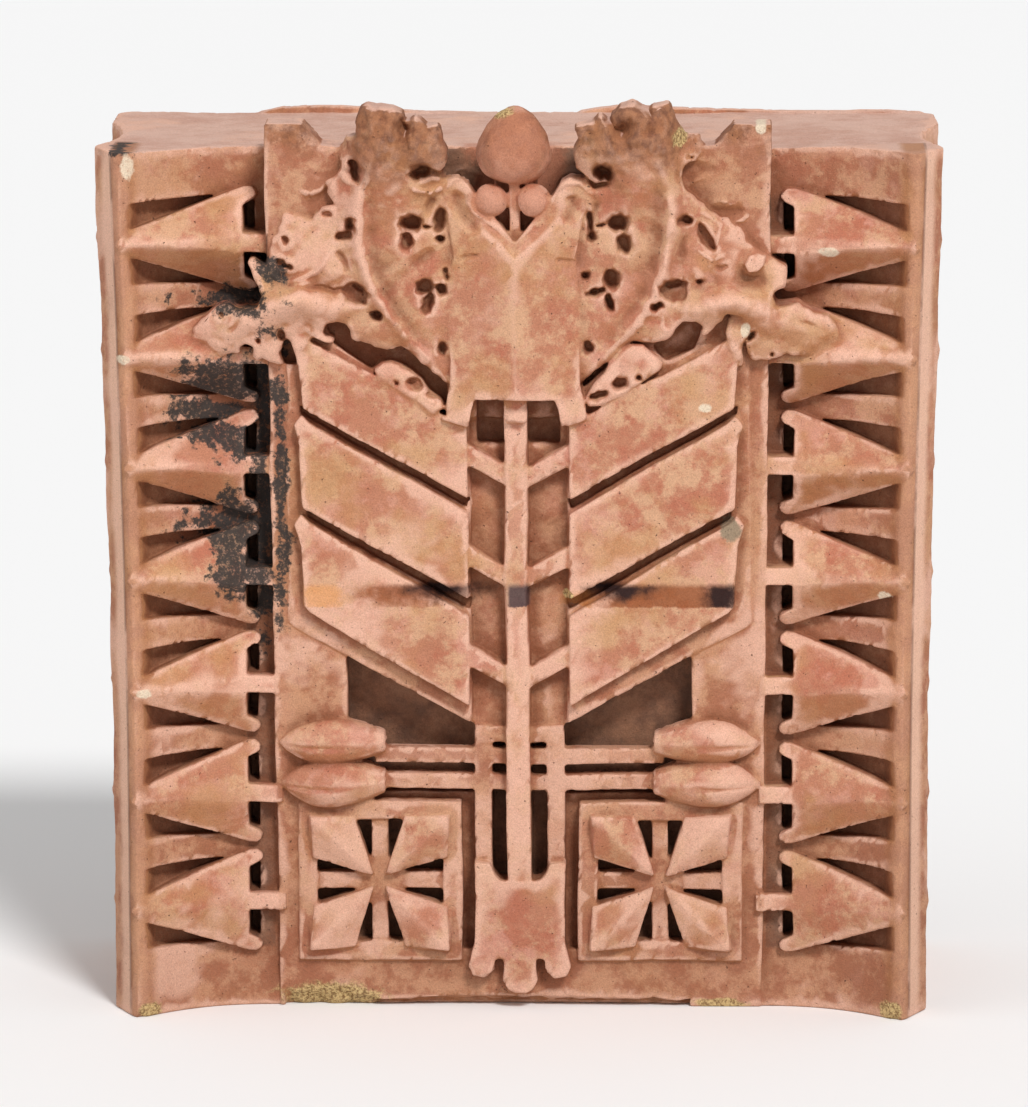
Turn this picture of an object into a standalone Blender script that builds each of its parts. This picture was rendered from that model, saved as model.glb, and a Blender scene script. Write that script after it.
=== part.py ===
"""A moulded terracotta pier capital: a coved and flared block with a leaning centre slab,
a column of darts up each corner, and a crest of leaves that stands above the top bed.

Metres, +Z up. X runs to the right, Y from the carved front to the plain back.
While the block is drawn, y = 0 is the plane of the two front corners; at the end it is moved
so that its origin is the middle of its underside, halfway through its depth.
"""

import math

import bmesh
import bpy
from mathutils import Vector

# Block
HEIGHT = 0.475
WIDTH_BASE = 0.445
WIDTH_TOP = 0.458
DEPTH = 0.204
FLARE_START = 0.147
FLARE_POWER = 1.5
FLARE_BANDS = 3
REAR_BEVEL = 0.008

# Corner, seen from the front: a steep outer face, a narrow nose, then the cove
CORNER_FACE = 0.0112
CORNER_SET_BACK = 0.027
NOSE_WIDTH = 0.0028
NOSE_DEPTH = 0.003
STRIP_WIDTH = 0.0045
STRIP_DEPTH = 0.0015
COVE_DEPTH = 0.034
COVE_POWER = 2.4
COVE_STEPS = 6

# Cove of each side
SIDE_STRIP = 0.008
SIDE_COVE_LENGTH = 0.110
SIDE_COVE_DEPTH = 0.010
SIDE_COVE_STEPS = 5

# Centre slab, which leans forward as it rises and stands above the bed
SLAB_HALF_BASE = 0.132
SLAB_HALF_TOP = 0.136
SLAB_BASE_DEPTH = 0.032
SLAB_TOP_DEPTH = 0.002
SLAB_THICKNESS = 0.028
PARAPET = 0.016
PARAPET_END = 0.0205
PARAPET_SLOPE = 0.010
CREST_FLOOR = 0.445

# Darts
DART_ROWS = 7
FIRST_DART = 0.060
LAST_DART_BELOW_BED = 0.0498
DART_HALF_HEIGHT = 0.0282
DART_TIP_INSET = 0.0142
DART_LIFT = 0.0018
DART_SHOULDER_RUN = 0.0050
DART_SHOULDER_RISE = 0.0066
DART_INNER = 0.1488
DART_RIDGE_BASE = 0.0265
DART_RIDGE_TOP = 0.0080
DART_EDGE_PROUD = 0.0050
DART_KEEL_START = 0.0260
DART_ROOT = 0.021
STEM_HALF = 0.0047
STEM_LAP = 0.0045
NIB_LENGTH = 0.0072
NIB_HEIGHT = 0.0056
NIB_ROOT = 0.0095
SIDE_DART_LENGTH = 0.056
SIDE_DART_PROUD = 0.0014
SIDE_DART_RIDGE = 0.0030

# Pockets beside the darts
PIT_OUTER_INSET = 0.0195
PIT_DEPTH = 0.011
PIT_WALL_RUN = 0.0055
BAND_HALF = 0.0071
SLOT_WIDTH = 0.0062
SLOT_DEPTH = 0.018

# Layers of the centre slab, as the distance that each stands before the slab's face
PLATE_PROUD = 0.0016
LATTICE_PROUD = 0.0011
BAR_PROUD = 0.0005
PANEL_PROUD = 0.0026
CROSS_PROUD = 0.0006
PETAL_PROUD = 0.0065
CHEVRON_PROUD = 0.0085
BRANCH_PROUD = 0.0066
STEM_PROUD = 0.0082
TERMINAL_PROUD = 0.0090
CENTRE_PLATE_PROUD = 0.0115
CENTRE_PLATE_FOLD = 0.0040
LAYER_ROOT = 0.010
WINDOW_DEPTH = 0.022
CHANNEL_DEPTH = 0.009
THROAT_DEPTH = 0.013

# Layout of the centre slab, each place as it is on a block of this width and height
DRAWN_HEIGHT = 0.475
DRAWN_WIDTH = 0.445
PLATE_HALF = 0.1255
PLATE_CORNER = 0.2155
PLATE_HEAD = 0.372
PLATE_FOOT_HALF = 0.0243
PLATE_FOOT = 0.1595
WINDOW_HALF = 0.0940
WINDOW_SILL = 0.1190
CHEVRON_OUTER = 0.1175
CHEVRON_INNER = 0.0272
CHEVRON_FOOT = 0.1712
CHEVRON_PITCH = 0.0575
CHEVRON_HEIGHT = 0.0500
TOP_CHEVRON_HEIGHT = 0.0415
CHEVRON_RISE = 0.600
CHEVRON_FLATTEN = 0.027
CHEVRON_KNOB = 0.0040
STEM_HALF_WIDTH = 0.0068
STEM_TAPER = 0.87
STEM_HEAD = 0.350
BRANCH_FOOT = 0.1792
BRANCH_HEIGHT = 0.0112
BRANCH_RISE = 0.50
BAR_HEIGHT = 0.0086
UPPER_BAR = 0.1380
LOWER_BAR = 0.1233
LATTICE_INNER = 0.0152
LATTICE_OUTER = 0.0245
LATTICE_FOOT = 0.078
BUD_INNER = 0.0735
BUD_OUTER = 0.1307
UPPER_BUD = 0.1500
LOWER_BUD = 0.1272
UPPER_BUD_HALF = 0.0127
LOWER_BUD_HALF = 0.0140
BUD_PROUD = 0.0112
BUD_TIP = 0.05
PANEL_INNER = 0.0318
PANEL_SIZE = 0.0896
PANEL_BASE = 0.0268
PANEL_RIM = 0.0105
PANEL_DEPTH = 0.016
CROSS_WIDTH = 0.0091
PETAL_REACH = 0.0385
PETAL_HEEL = 0.0140
TERMINAL_HALF = 0.0250
TERMINAL_BASE = 0.0285
TERMINAL_HEAD = 0.0725
TERMINAL_HORN = 0.0110

# Crest
CREST_SHIFT = -0.0015
LEAF_CELL = 0.0070
LEAF_INNER = 0.0305
LEAF_OUTER = 0.1660
LEAF_FOOT = 0.3330
LEAF_TOP = 0.5100
LEAF_CROWN = 0.50
LEAF_EDGE = 0.006
EGG_CENTRE = 0.4805
EGG_HALF_WIDTH = 0.0195
EGG_HALF_HEIGHT = 0.0212
EGG_PROUD = 0.0220
BERRY_CENTRE = 0.4512
BERRY_RADIUS = 0.0083
BERRY_SPREAD = 0.0113

# Damage and bedding
LIP_HEIGHT = 0.0042
LIP_DEPTH = 0.009
CHIP_HEIGHT = 0.0065
CHIP_DEPTH = 0.010

CLEAR = 0.060
FLAT = 0.000003
TERRACOTTA = (0.60, 0.30, 0.19, 1.0)


def half_width(z):
    """Half the width of the block at height z, which grows towards the top."""
    t = max(0.0, (z - FLARE_START) / (HEIGHT - FLARE_START))
    return (WIDTH_BASE + (WIDTH_TOP - WIDTH_BASE) * t ** FLARE_POWER) / 2


def slab_half(z):
    return SLAB_HALF_BASE + (SLAB_HALF_TOP - SLAB_HALF_BASE) * z / HEIGHT


def slab_face(z, proud=0.0):
    """The y of a surface that stands proud of the leaning slab at height z."""
    lean = SLAB_BASE_DEPTH + (SLAB_TOP_DEPTH - SLAB_BASE_DEPTH) * z / HEIGHT
    return lean - proud


def across(x):
    """A place drawn on the original width, carried to this one."""
    return x * WIDTH_BASE / DRAWN_WIDTH


def up(z):
    """A height drawn on the original block, carried to this one."""
    return z * HEIGHT / DRAWN_HEIGHT


def cove_depth(x, z):
    """How far the front of the block lies behind its corners at that place."""
    start = half_width(z) - CORNER_FACE - NOSE_WIDTH - STRIP_WIDTH
    share = (start - abs(x)) / (start - slab_half(z))
    share = min(1.0, max(0.0, share))
    return STRIP_DEPTH + (COVE_DEPTH - STRIP_DEPTH) * (1 - (1 - share) ** COVE_POWER)


def new_object(name, mesh_builder):
    mesh_builder.normal_update()
    bent = [face for face in mesh_builder.faces if len(face.verts) > 3 and
            any(abs((vert.co - face.verts[0].co).dot(face.normal)) > FLAT for vert in face.verts)]
    bmesh.ops.triangulate(mesh_builder, faces=bent)
    mesh = bpy.data.meshes.new(name)
    mesh_builder.to_mesh(mesh)
    mesh_builder.free()
    made = bpy.data.objects.new(name, mesh)
    bpy.context.scene.collection.objects.link(made)
    return made


def add_solid(bm, front, faces, back):
    """Adds a closed solid: the given front faces, walls round their free edge, and a back.

    front is a list of (x, y, z) points, faces lists their numbers, and back is the y of
    each back point, one value or a function of the front point."""
    back_y = back if callable(back) else (lambda point: back)
    near = [bm.verts.new(p) for p in front]
    far = [bm.verts.new((p[0], back_y(p), p[2])) for p in front]
    made = []
    edges = {}
    for face in faces:
        made.append(bm.faces.new([near[i] for i in face]))
        made.append(bm.faces.new([far[i] for i in reversed(face)]))
        for a, b in zip(face, face[1:] + face[:1]):
            edges[(a, b)] = edges.get((a, b), 0) + 1
    for a, b in edges:
        if (b, a) not in edges:
            made.append(bm.faces.new([near[b], near[a], far[a], far[b]]))
    bmesh.ops.recalc_face_normals(bm, faces=made)
    return made


def add_prism(bm, outline, proud, root):
    """Adds a flat layer of the slab with that outline of (x, z) points."""
    front = [(x, slab_face(z, proud), z) for x, z in outline]
    add_solid(bm, front, [list(range(len(front)))], lambda p: slab_face(p[2], -root))


def mirrored(outline, side):
    return [(side * x, z) for x, z in outline]


def plan_outline(z):
    """The block's outline at height z, as (x, y) points from the right side to the left."""
    half = half_width(z)
    nose = half - CORNER_FACE
    strip = nose - NOSE_WIDTH
    cove = strip - STRIP_WIDTH
    inner = slab_half(z)
    right = [(half, CORNER_SET_BACK), (nose, NOSE_DEPTH), (strip, 0.0), (cove, STRIP_DEPTH)]
    for i in range(1, COVE_STEPS + 1):
        share = i / COVE_STEPS
        x = cove + (inner - cove) * share
        depth = STRIP_DEPTH + (COVE_DEPTH - STRIP_DEPTH) * (1 - (1 - share) ** COVE_POWER)
        right.append((x, depth))
    right.append((inner, slab_face(z)))
    start = CORNER_SET_BACK + SIDE_STRIP
    side = [(half - REAR_BEVEL, DEPTH), (half, DEPTH - REAR_BEVEL)]
    for i in range(SIDE_COVE_STEPS, -1, -1):
        share = i / SIDE_COVE_STEPS
        inset = SIDE_COVE_DEPTH * math.sin(math.pi * share)
        side.append((half - inset, start + SIDE_COVE_LENGTH * share))
    chain = side + right
    return chain + [(-x, y) for x, y in reversed(chain)]


def make_block():
    """The coved and flared block with its slab, up to the top of the parapet."""
    levels = [0.0, FLARE_START]
    levels += [FLARE_START + (HEIGHT - FLARE_START) * (i + 1) / FLARE_BANDS
               for i in range(FLARE_BANDS)]
    levels.append(HEIGHT + PARAPET)
    bm = bmesh.new()
    rings = [[bm.verts.new((x, y, z)) for x, y in plan_outline(z)] for z in levels]
    for low, high in zip(rings, rings[1:]):
        for i in range(len(low)):
            j = (i + 1) % len(low)
            bm.faces.new([low[i], low[j], high[j], high[i]])
    bm.faces.new(rings[0])
    bm.faces.new(rings[-1])
    bmesh.ops.recalc_face_normals(bm, faces=bm.faces)
    return new_object("pier_capital", bm)


def add_box(bm, low, high):
    front = [(low[0], low[1], low[2]), (high[0], low[1], low[2]),
             (high[0], low[1], high[2]), (low[0], low[1], high[2])]
    add_solid(bm, front, [[0, 1, 2, 3]], high[1])


def make_bed_cutter():
    """Takes the block away above the bed, behind and beside the slab's parapet."""
    top_half = slab_half(HEIGHT)
    reach = WIDTH_TOP
    behind = SLAB_TOP_DEPTH + SLAB_THICKNESS
    plan = [(-reach, -CLEAR), (-top_half, -CLEAR), (-top_half, behind), (top_half, behind),
            (top_half, -CLEAR), (reach, -CLEAR), (reach, DEPTH + CLEAR), (-reach, DEPTH + CLEAR)]
    bm = bmesh.new()
    low = [bm.verts.new((x, y, HEIGHT)) for x, y in plan]
    high = [bm.verts.new((x, y, HEIGHT + CLEAR)) for x, y in plan]
    bm.faces.new(low)
    bm.faces.new(high)
    for i in range(len(plan)):
        j = (i + 1) % len(plan)
        bm.faces.new([low[i], low[j], high[j], high[i]])
    bmesh.ops.recalc_face_normals(bm, faces=bm.faces)
    return new_object("bed_cutter", bm)


def add_crest_cut(bm):
    """The gap between the two ends of the parapet, which the leaves and the egg fill."""
    end = slab_half(HEIGHT) - PARAPET_END
    foot = end - PARAPET_SLOPE
    outline = [(-end, HEIGHT + CLEAR), (-end, HEIGHT + PARAPET), (-foot, HEIGHT + 0.004),
               (-foot + 0.030, HEIGHT + 0.003), (across(-0.044), up(CREST_FLOOR)),
               (across(0.044), up(CREST_FLOOR)), (foot - 0.030, HEIGHT + 0.003),
               (foot, HEIGHT + 0.004), (end, HEIGHT + PARAPET), (end, HEIGHT + CLEAR)]
    front = [(x, -CLEAR, z) for x, z in outline]
    add_solid(bm, front, [list(range(len(front)))], SLAB_TOP_DEPTH + SLAB_THICKNESS + 0.002)


def dart_heights():
    last = HEIGHT - LAST_DART_BELOW_BED
    pitch = (last - FIRST_DART) / (DART_ROWS - 1)
    return [FIRST_DART + pitch * row for row in range(DART_ROWS)], pitch


def dart_ridge(z):
    """How far a front dart's inner end lies behind the corners, at height z."""
    return DART_RIDGE_BASE + (DART_RIDGE_TOP - DART_RIDGE_BASE) * z / HEIGHT


def dart_edge_rise(run, length):
    """Half the dart's height at that distance from its tip."""
    slope = (DART_HALF_HEIGHT - DART_SHOULDER_RISE) / (length - DART_SHOULDER_RUN)
    return DART_SHOULDER_RISE + slope * (run - DART_SHOULDER_RUN)


def add_dart(bm, place, length, ridge, edge, stem_reach):
    """Adds one folded dart. place(run, depth, rise) gives a point from the distance to the
    dart's tip, the depth behind the tip and the height above the dart's middle line."""
    high = DART_HALF_HEIGHT
    root = high - NIB_ROOT
    root_depth = ridge + (edge - ridge) * (root - STEM_HALF) / (high - STEM_HALF)
    keel = ridge * DART_KEEL_START / length
    upper = [(DART_SHOULDER_RUN, edge * DART_SHOULDER_RUN / length, DART_SHOULDER_RISE),
             (length, edge, high), (length + NIB_LENGTH * 0.6, edge, high),
             (length + NIB_LENGTH, edge, high - NIB_HEIGHT * 0.45),
             (length + NIB_LENGTH * 0.9, edge, high - NIB_HEIGHT),
             (length, root_depth, root), (length, ridge, STEM_HALF)]
    points = [(0.0, 0.0, 0.0), (DART_KEEL_START, keel, 0.0)]
    points += upper
    points += [(run, depth, -rise) for run, depth, rise in upper]
    stem = [(length + stem_reach, ridge, STEM_HALF), (length + stem_reach, ridge, -STEM_HALF)]
    points += stem
    top, bottom = 2, 2 + len(upper)
    faces = []
    for first, turn in ((top, 1), (bottom, -1)):
        shoulder, corner, nib_a, nib_b, nib_c, inner, flat = range(first, first + len(upper))
        ring = [[0, shoulder, 1], [shoulder, corner, 1], [corner, inner, 1], [inner, flat, 1],
                [corner, nib_a, nib_b, nib_c, inner]]
        faces += [face[::turn] for face in ring]
    top_flat, bottom_flat = top + len(upper) - 1, bottom + len(upper) - 1
    faces.append([1, top_flat, bottom_flat])
    faces.append([top_flat, len(points) - 2, len(points) - 1, bottom_flat])
    near = [bm.verts.new(place(*p)) for p in points]
    far = [bm.verts.new(place(run, edge + DART_ROOT, rise)) for run, depth, rise in points]
    edges = set()
    made = []
    for face in faces:
        made.append(bm.faces.new([near[i] for i in face]))
        made.append(bm.faces.new([far[i] for i in reversed(face)]))
        edges.update(zip(face, face[1:] + face[:1]))
    for a, b in edges:
        if (b, a) not in edges:
            made.append(bm.faces.new([near[b], near[a], far[a], far[b]]))
    bmesh.ops.recalc_face_normals(bm, faces=made)


def add_front_darts(bm):
    for z in dart_heights()[0]:
        tip = half_width(z) - DART_TIP_INSET
        length = tip - across(DART_INNER)
        ridge = dart_ridge(z)
        edge = cove_depth(across(DART_INNER), z) - DART_EDGE_PROUD
        stem_reach = across(DART_INNER) - slab_half(z) + 0.0006 + STEM_LAP * (1 - z / HEIGHT) ** 2
        for side in (-1, 1):
            def place(run, depth, rise, side=side, z=z, tip=tip, length=length):
                lift = DART_LIFT * max(0.0, 1 - run / length)
                return (side * (tip - run), depth - lift, z + rise)
            add_dart(bm, place, length, ridge, edge, stem_reach)


def add_side_darts(bm):
    """Plainer darts up each side, with their tips at the front corner."""
    start = CORNER_SET_BACK + SIDE_STRIP * 0.6
    inner = SIDE_COVE_DEPTH - 0.002
    for z in dart_heights()[0]:
        for side in (-1, 1):
            face = half_width(z) + SIDE_DART_PROUD
            outline = [(0.0, 0.0, 0.0), (DART_SHOULDER_RUN, 0.001, DART_SHOULDER_RISE),
                       (SIDE_DART_LENGTH, inner, DART_HALF_HEIGHT),
                       (SIDE_DART_LENGTH, SIDE_DART_RIDGE, 0.0),
                       (SIDE_DART_LENGTH, inner, -DART_HALF_HEIGHT),
                       (DART_SHOULDER_RUN, 0.001, -DART_SHOULDER_RISE)]
            near = [bm.verts.new((side * (face - depth), start + run, z + rise))
                    for run, depth, rise in outline]
            far = [bm.verts.new((side * (face - inner - DART_ROOT), start + run, z + rise))
                   for run, depth, rise in outline]
            made = [bm.faces.new([near[0], near[1], near[2], near[3]]),
                    bm.faces.new([near[3], near[4], near[5], near[0]]), bm.faces.new(far)]
            for i in range(len(outline)):
                j = (i + 1) % len(outline)
                made.append(bm.faces.new([near[i], near[j], far[j], far[i]]))
            bmesh.ops.recalc_face_normals(bm, faces=made)


def add_pit(bm, place, length, outer, upper, lower):
    """A wedge-shaped pocket between a dart's edge and the band beside it. upper and lower
    are the rise of its level edge and of the dart's edge at its outer end."""
    slope = (DART_HALF_HEIGHT - DART_SHOULDER_RISE) / (length - DART_SHOULDER_RUN)
    apex = outer + (upper - lower) / slope
    mouth = [(outer, upper), (outer, lower - 0.002), (apex, upper)]
    floor = [(outer + PIT_WALL_RUN, upper), (outer + PIT_WALL_RUN, lower), (apex, upper)]
    add_wedge(bm, place, mouth, floor)


def add_wedge(bm, place, mouth, floor):
    """A cutter with one outline well before the face and another at the pocket's floor."""
    front = [bm.verts.new(place(run, None, rise)) for run, rise in mouth]
    back = [bm.verts.new(place(run, PIT_DEPTH, rise)) for run, rise in floor]
    made = [bm.faces.new(front), bm.faces.new(back)]
    for i in range(len(mouth)):
        j = (i + 1) % len(mouth)
        made.append(bm.faces.new([front[i], front[j], back[j], back[i]]))
    bmesh.ops.recalc_face_normals(bm, faces=made)


def add_front_pockets(bm):
    """The pits above and below each dart, and the slots behind its inner end."""
    heights, pitch = dart_heights()
    level = pitch / 2 - BAND_HALF
    for z in heights:
        tip = half_width(z) - DART_TIP_INSET
        length = tip - across(DART_INNER)
        outer = PIT_OUTER_INSET - DART_TIP_INSET
        lower = dart_edge_rise(outer + PIT_WALL_RUN, length) - 0.0035
        for side in (-1, 1):
            for turn in (-1, 1):
                def place(run, depth, rise, side=side, turn=turn, z=z, tip=tip):
                    x = tip - run
                    face = cove_depth(x, z)
                    y = face - 0.020 if depth is None else face + depth
                    return (side * x, y, z + turn * rise)
                add_pit(bm, place, length, outer, level, lower)
            slot_out = across(DART_INNER) + 0.0006
            slot_in = slot_out - SLOT_WIDTH
            floor = COVE_DEPTH + SLOT_DEPTH
            rise = DART_HALF_HEIGHT - NIB_ROOT * 0.8
            add_box(bm, (min(side * slot_in, side * slot_out), -CLEAR, z - rise),
                    (max(side * slot_in, side * slot_out), floor, z + rise))


def add_slab_recesses(bm):
    """The windows under the chevron plate, the slots beside the stem and the channels
    round the two square panels."""
    rise = (PLATE_CORNER - PLATE_FOOT) / (PLATE_HALF - PLATE_FOOT_HALF)
    for side in (-1, 1):
        head_out = PLATE_FOOT + rise * (WINDOW_HALF - PLATE_FOOT_HALF) + 0.004
        outline = [(WINDOW_HALF, head_out), (PLATE_FOOT_HALF - 0.004, PLATE_FOOT + 0.003),
                   (0.0095, PLATE_FOOT - 0.008), (0.0030, PLATE_FOOT - 0.008),
                   (0.0030, 0.0700), (LATTICE_INNER + 0.003, 0.0700),
                   (LATTICE_INNER + 0.003, WINDOW_SILL + 0.001), (WINDOW_HALF, WINDOW_SILL)]
        add_recess(bm, mirrored(outline, side), WINDOW_DEPTH)
        channel = [(PANEL_INNER + 0.0005, PANEL_BASE + 0.006),
                   (PANEL_INNER + 0.0005, WINDOW_SILL + 0.002),
                   (0.0198, WINDOW_SILL + 0.002), (0.0198, PANEL_BASE + 0.006)]
        add_recess(bm, mirrored(channel, side), CHANNEL_DEPTH)
        panel_top = PANEL_BASE + PANEL_SIZE
        gap = [(PANEL_INNER - 0.002, panel_top - 0.003), (PANEL_INNER - 0.002, WINDOW_SILL + 0.003),
               (WINDOW_HALF - 0.006, WINDOW_SILL + 0.003), (WINDOW_HALF - 0.006, panel_top - 0.003)]
        add_recess(bm, mirrored(gap, side), CHANNEL_DEPTH + 0.001)
        rim = PANEL_RIM - 0.0015
        low, high = PANEL_INNER + rim, PANEL_INNER + PANEL_SIZE - rim
        base, top = PANEL_BASE + rim, PANEL_BASE + PANEL_SIZE - rim
        square = [(low, base), (high, base), (high, top), (low, top)]
        add_recess(bm, mirrored(square, side), PANEL_DEPTH)
        throat = [(0.0020, 0.345), (0.0220, 0.345), (0.0220, 0.3162), (0.0020, 0.3162)]
        add_recess(bm, mirrored(throat, side), THROAT_DEPTH)


def add_recess(bm, outline, depth):
    places = [(across(x), up(z)) for x, z in outline]
    front = [(x, -CLEAR, z) for x, z in places]
    add_solid(bm, front, [list(range(len(front)))], lambda p: slab_face(p[2], -depth))


def layer(bm, outline, proud, root=LAYER_ROOT):
    add_prism(bm, [(across(x), up(z)) for x, z in outline], proud, root)


def add_backing(bm):
    """The plate behind the chevrons, the upright pieces of the lattice and its bars."""
    plate = [(-PLATE_HALF, PLATE_HEAD), (-PLATE_HALF, PLATE_CORNER + 0.002),
             (-PLATE_HALF + 0.003, PLATE_CORNER - 0.001), (-PLATE_FOOT_HALF, PLATE_FOOT),
             (-PLATE_FOOT_HALF + 0.001, 0.1505), (PLATE_FOOT_HALF - 0.001, 0.1505),
             (PLATE_FOOT_HALF, PLATE_FOOT), (PLATE_HALF - 0.003, PLATE_CORNER - 0.001),
             (PLATE_HALF, PLATE_CORNER + 0.002), (PLATE_HALF, PLATE_HEAD)]
    head = [(0.0225, PLATE_HEAD), (0.0225, 0.3155), (-0.0225, 0.3155), (-0.0225, PLATE_HEAD)]
    layer(bm, plate[:10] + head, PLATE_PROUD)
    for side in (-1, 1):
        post = [(LATTICE_INNER, LATTICE_FOOT), (LATTICE_OUTER, LATTICE_FOOT),
                (LATTICE_OUTER + 0.0002, 0.1560), (LATTICE_INNER - 0.0002, 0.1560)]
        layer(bm, mirrored(post, side), LATTICE_PROUD, WINDOW_DEPTH + 0.003)
        for base in (UPPER_BAR, LOWER_BAR):
            bar = [(0.0040, base), (0.0790, base), (0.0790, base + BAR_HEIGHT),
                   (0.0040, base + BAR_HEIGHT)]
            layer(bm, mirrored(bar, side), BAR_PROUD, WINDOW_DEPTH * 0.5)


def add_chevrons(bm):
    run = CHEVRON_OUTER - CHEVRON_INNER
    for row in range(3):
        foot = CHEVRON_FOOT + CHEVRON_PITCH * row
        tall = TOP_CHEVRON_HEIGHT if row == 2 else CHEVRON_HEIGHT
        outer_foot = foot + (CHEVRON_RISE - CHEVRON_FLATTEN * row) * run
        outline = [(CHEVRON_INNER, foot), (CHEVRON_INNER, foot + tall),
                   (CHEVRON_OUTER - 0.0045, outer_foot + tall - 0.0025),
                   (CHEVRON_OUTER, outer_foot + tall + 0.0020),
                   (CHEVRON_OUTER + CHEVRON_KNOB, outer_foot + tall - 0.0035),
                   (CHEVRON_OUTER + 0.0008, outer_foot + tall - 0.0150),
                   (CHEVRON_OUTER - 0.0008, outer_foot + 0.0015),
                   (CHEVRON_OUTER - 0.0040, outer_foot - 0.0020)]
        branch_foot = BRANCH_FOOT + CHEVRON_PITCH * 0.975 * row
        branch_run = CHEVRON_INNER + 0.004
        branch_end = branch_foot + BRANCH_RISE * branch_run
        branch = [(0.0020, branch_foot), (branch_run, branch_end),
                  (branch_run, branch_end + BRANCH_HEIGHT * 1.12),
                  (0.0020, branch_foot + BRANCH_HEIGHT)]
        for side in (-1, 1):
            layer(bm, mirrored(outline, side), CHEVRON_PROUD)
            layer(bm, mirrored(branch, side), BRANCH_PROUD)


def add_stem(bm):
    """The upright stem and the lobed plate that it ends in."""
    narrow = STEM_HALF_WIDTH * STEM_TAPER
    stem = [(-STEM_HALF_WIDTH, TERMINAL_HEAD - 0.012), (STEM_HALF_WIDTH, TERMINAL_HEAD - 0.012),
            (CREST_SHIFT + narrow, STEM_HEAD), (CREST_SHIFT - narrow, STEM_HEAD)]
    layer(bm, stem, STEM_PROUD, WINDOW_DEPTH + 0.003)
    base, head, half = TERMINAL_BASE, TERMINAL_HEAD, TERMINAL_HALF
    right = [(0.0068, head - 0.0008), (0.0115, head + 0.0004), (LATTICE_INNER - 0.0008, head + 0.0035),
             (LATTICE_INNER + 0.0016, head + TERMINAL_HORN - 0.001),
             (half + 0.0004, head + TERMINAL_HORN), (half - 0.0002, head - 0.012),
             (half, base + 0.009), (half + 0.0034, base - 0.0040), (half + 0.0008, base - 0.0092),
             (half - 0.0060, base - 0.0106), (half - 0.0108, base - 0.0060), (half - 0.0110, base),
             (half - 0.0160, base), (0.0090, base - 0.0060), (0.0097, base - 0.0120),
             (0.0068, base - 0.0172), (0.0028, base - 0.0192)]
    layer(bm, right + [(-x, z) for x, z in reversed(right)], TERMINAL_PROUD, CHANNEL_DEPTH + 0.004)


def add_panels(bm):
    """Two square panels: a rim, a cross over a deep recess, and four folded petals."""
    for side in (-1, 1):
        low, high = PANEL_INNER, PANEL_INNER + PANEL_SIZE
        base, top = PANEL_BASE, PANEL_BASE + PANEL_SIZE
        rim = PANEL_RIM
        outer = [(low, base), (high, base), (high, top), (low, top)]
        inner = [(low + rim, base + rim), (high - rim, base + rim),
                 (high - rim, top - rim), (low + rim, top - rim)]
        places = [(across(x) * side, up(z)) for x, z in outer + inner]
        front = [(x, slab_face(z, PANEL_PROUD), z) for x, z in places]
        ring = [[i, (i + 1) % 4, 4 + (i + 1) % 4, 4 + i] for i in range(4)]
        add_solid(bm, front, ring, lambda p: slab_face(p[2], -LAYER_ROOT * 1.3))
        middle = PANEL_INNER + PANEL_SIZE / 2
        centre = PANEL_BASE + PANEL_SIZE / 2
        arm, reach = CROSS_WIDTH / 2, PANEL_SIZE / 2 - 0.004
        cross = [(-arm, -reach), (arm, -reach), (arm, -arm), (reach, -arm), (reach, arm),
                 (arm, arm), (arm, reach), (-arm, reach), (-arm, arm), (-reach, arm),
                 (-reach, -arm), (-arm, -arm)]
        layer(bm, mirrored([(middle + x, centre + z) for x, z in cross], side),
              CROSS_PROUD, LAYER_ROOT * 1.1)
        for turn_x in (-1, 1):
            for turn_z in (-1, 1):
                add_petal(bm, side, middle, centre, turn_x, turn_z)


def add_petal(bm, side, middle, centre, turn_x, turn_z):
    far, heel, near = PETAL_REACH, PETAL_HEEL, 0.0030
    outline = [(near, near, PETAL_PROUD * 0.8), (far * 0.95, heel, PETAL_PROUD * 0.8),
               (far, far, PETAL_PROUD), (heel, far * 0.95, PETAL_PROUD * 0.8)]
    front = []
    for x, z, proud in outline:
        place_z = up(centre + turn_z * z)
        front.append((side * across(middle + turn_x * x), slab_face(place_z, proud), place_z))
    add_solid(bm, front, [[0, 1, 2], [2, 3, 0]],
              lambda p: slab_face(p[2], -LAYER_ROOT * 0.9))


def add_buds(bm):
    """Two almond buds at the outer ends of the bars on each side."""
    steps, ring = 6, 5
    for side in (-1, 1):
        for centre, tall, root in ((UPPER_BUD, UPPER_BUD_HALF, LAYER_ROOT * 0.7),
                                   (LOWER_BUD, LOWER_BUD_HALF, LAYER_ROOT * 0.9)):
            front, faces = [], []
            for i in range(steps + 1):
                share = i / steps
                x = BUD_OUTER + (BUD_INNER - BUD_OUTER) * share
                swell = BUD_TIP + (1 - BUD_TIP) * math.sin(math.pi * 0.86 * share ** 0.85)
                for k in range(ring):
                    turn = math.pi * k / (ring - 1)
                    z = up(centre) + tall * swell * math.cos(turn)
                    proud = 0.0010 + BUD_PROUD * swell * math.sin(turn)
                    front.append((side * across(x), slab_face(z, proud), z))
            for i in range(steps):
                for k in range(ring - 1):
                    a = i * ring + k
                    faces.append([a, a + 1, a + ring + 1, a + ring])
            add_solid(bm, front, faces, lambda p, root=root: slab_face(p[2], -root))


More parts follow.
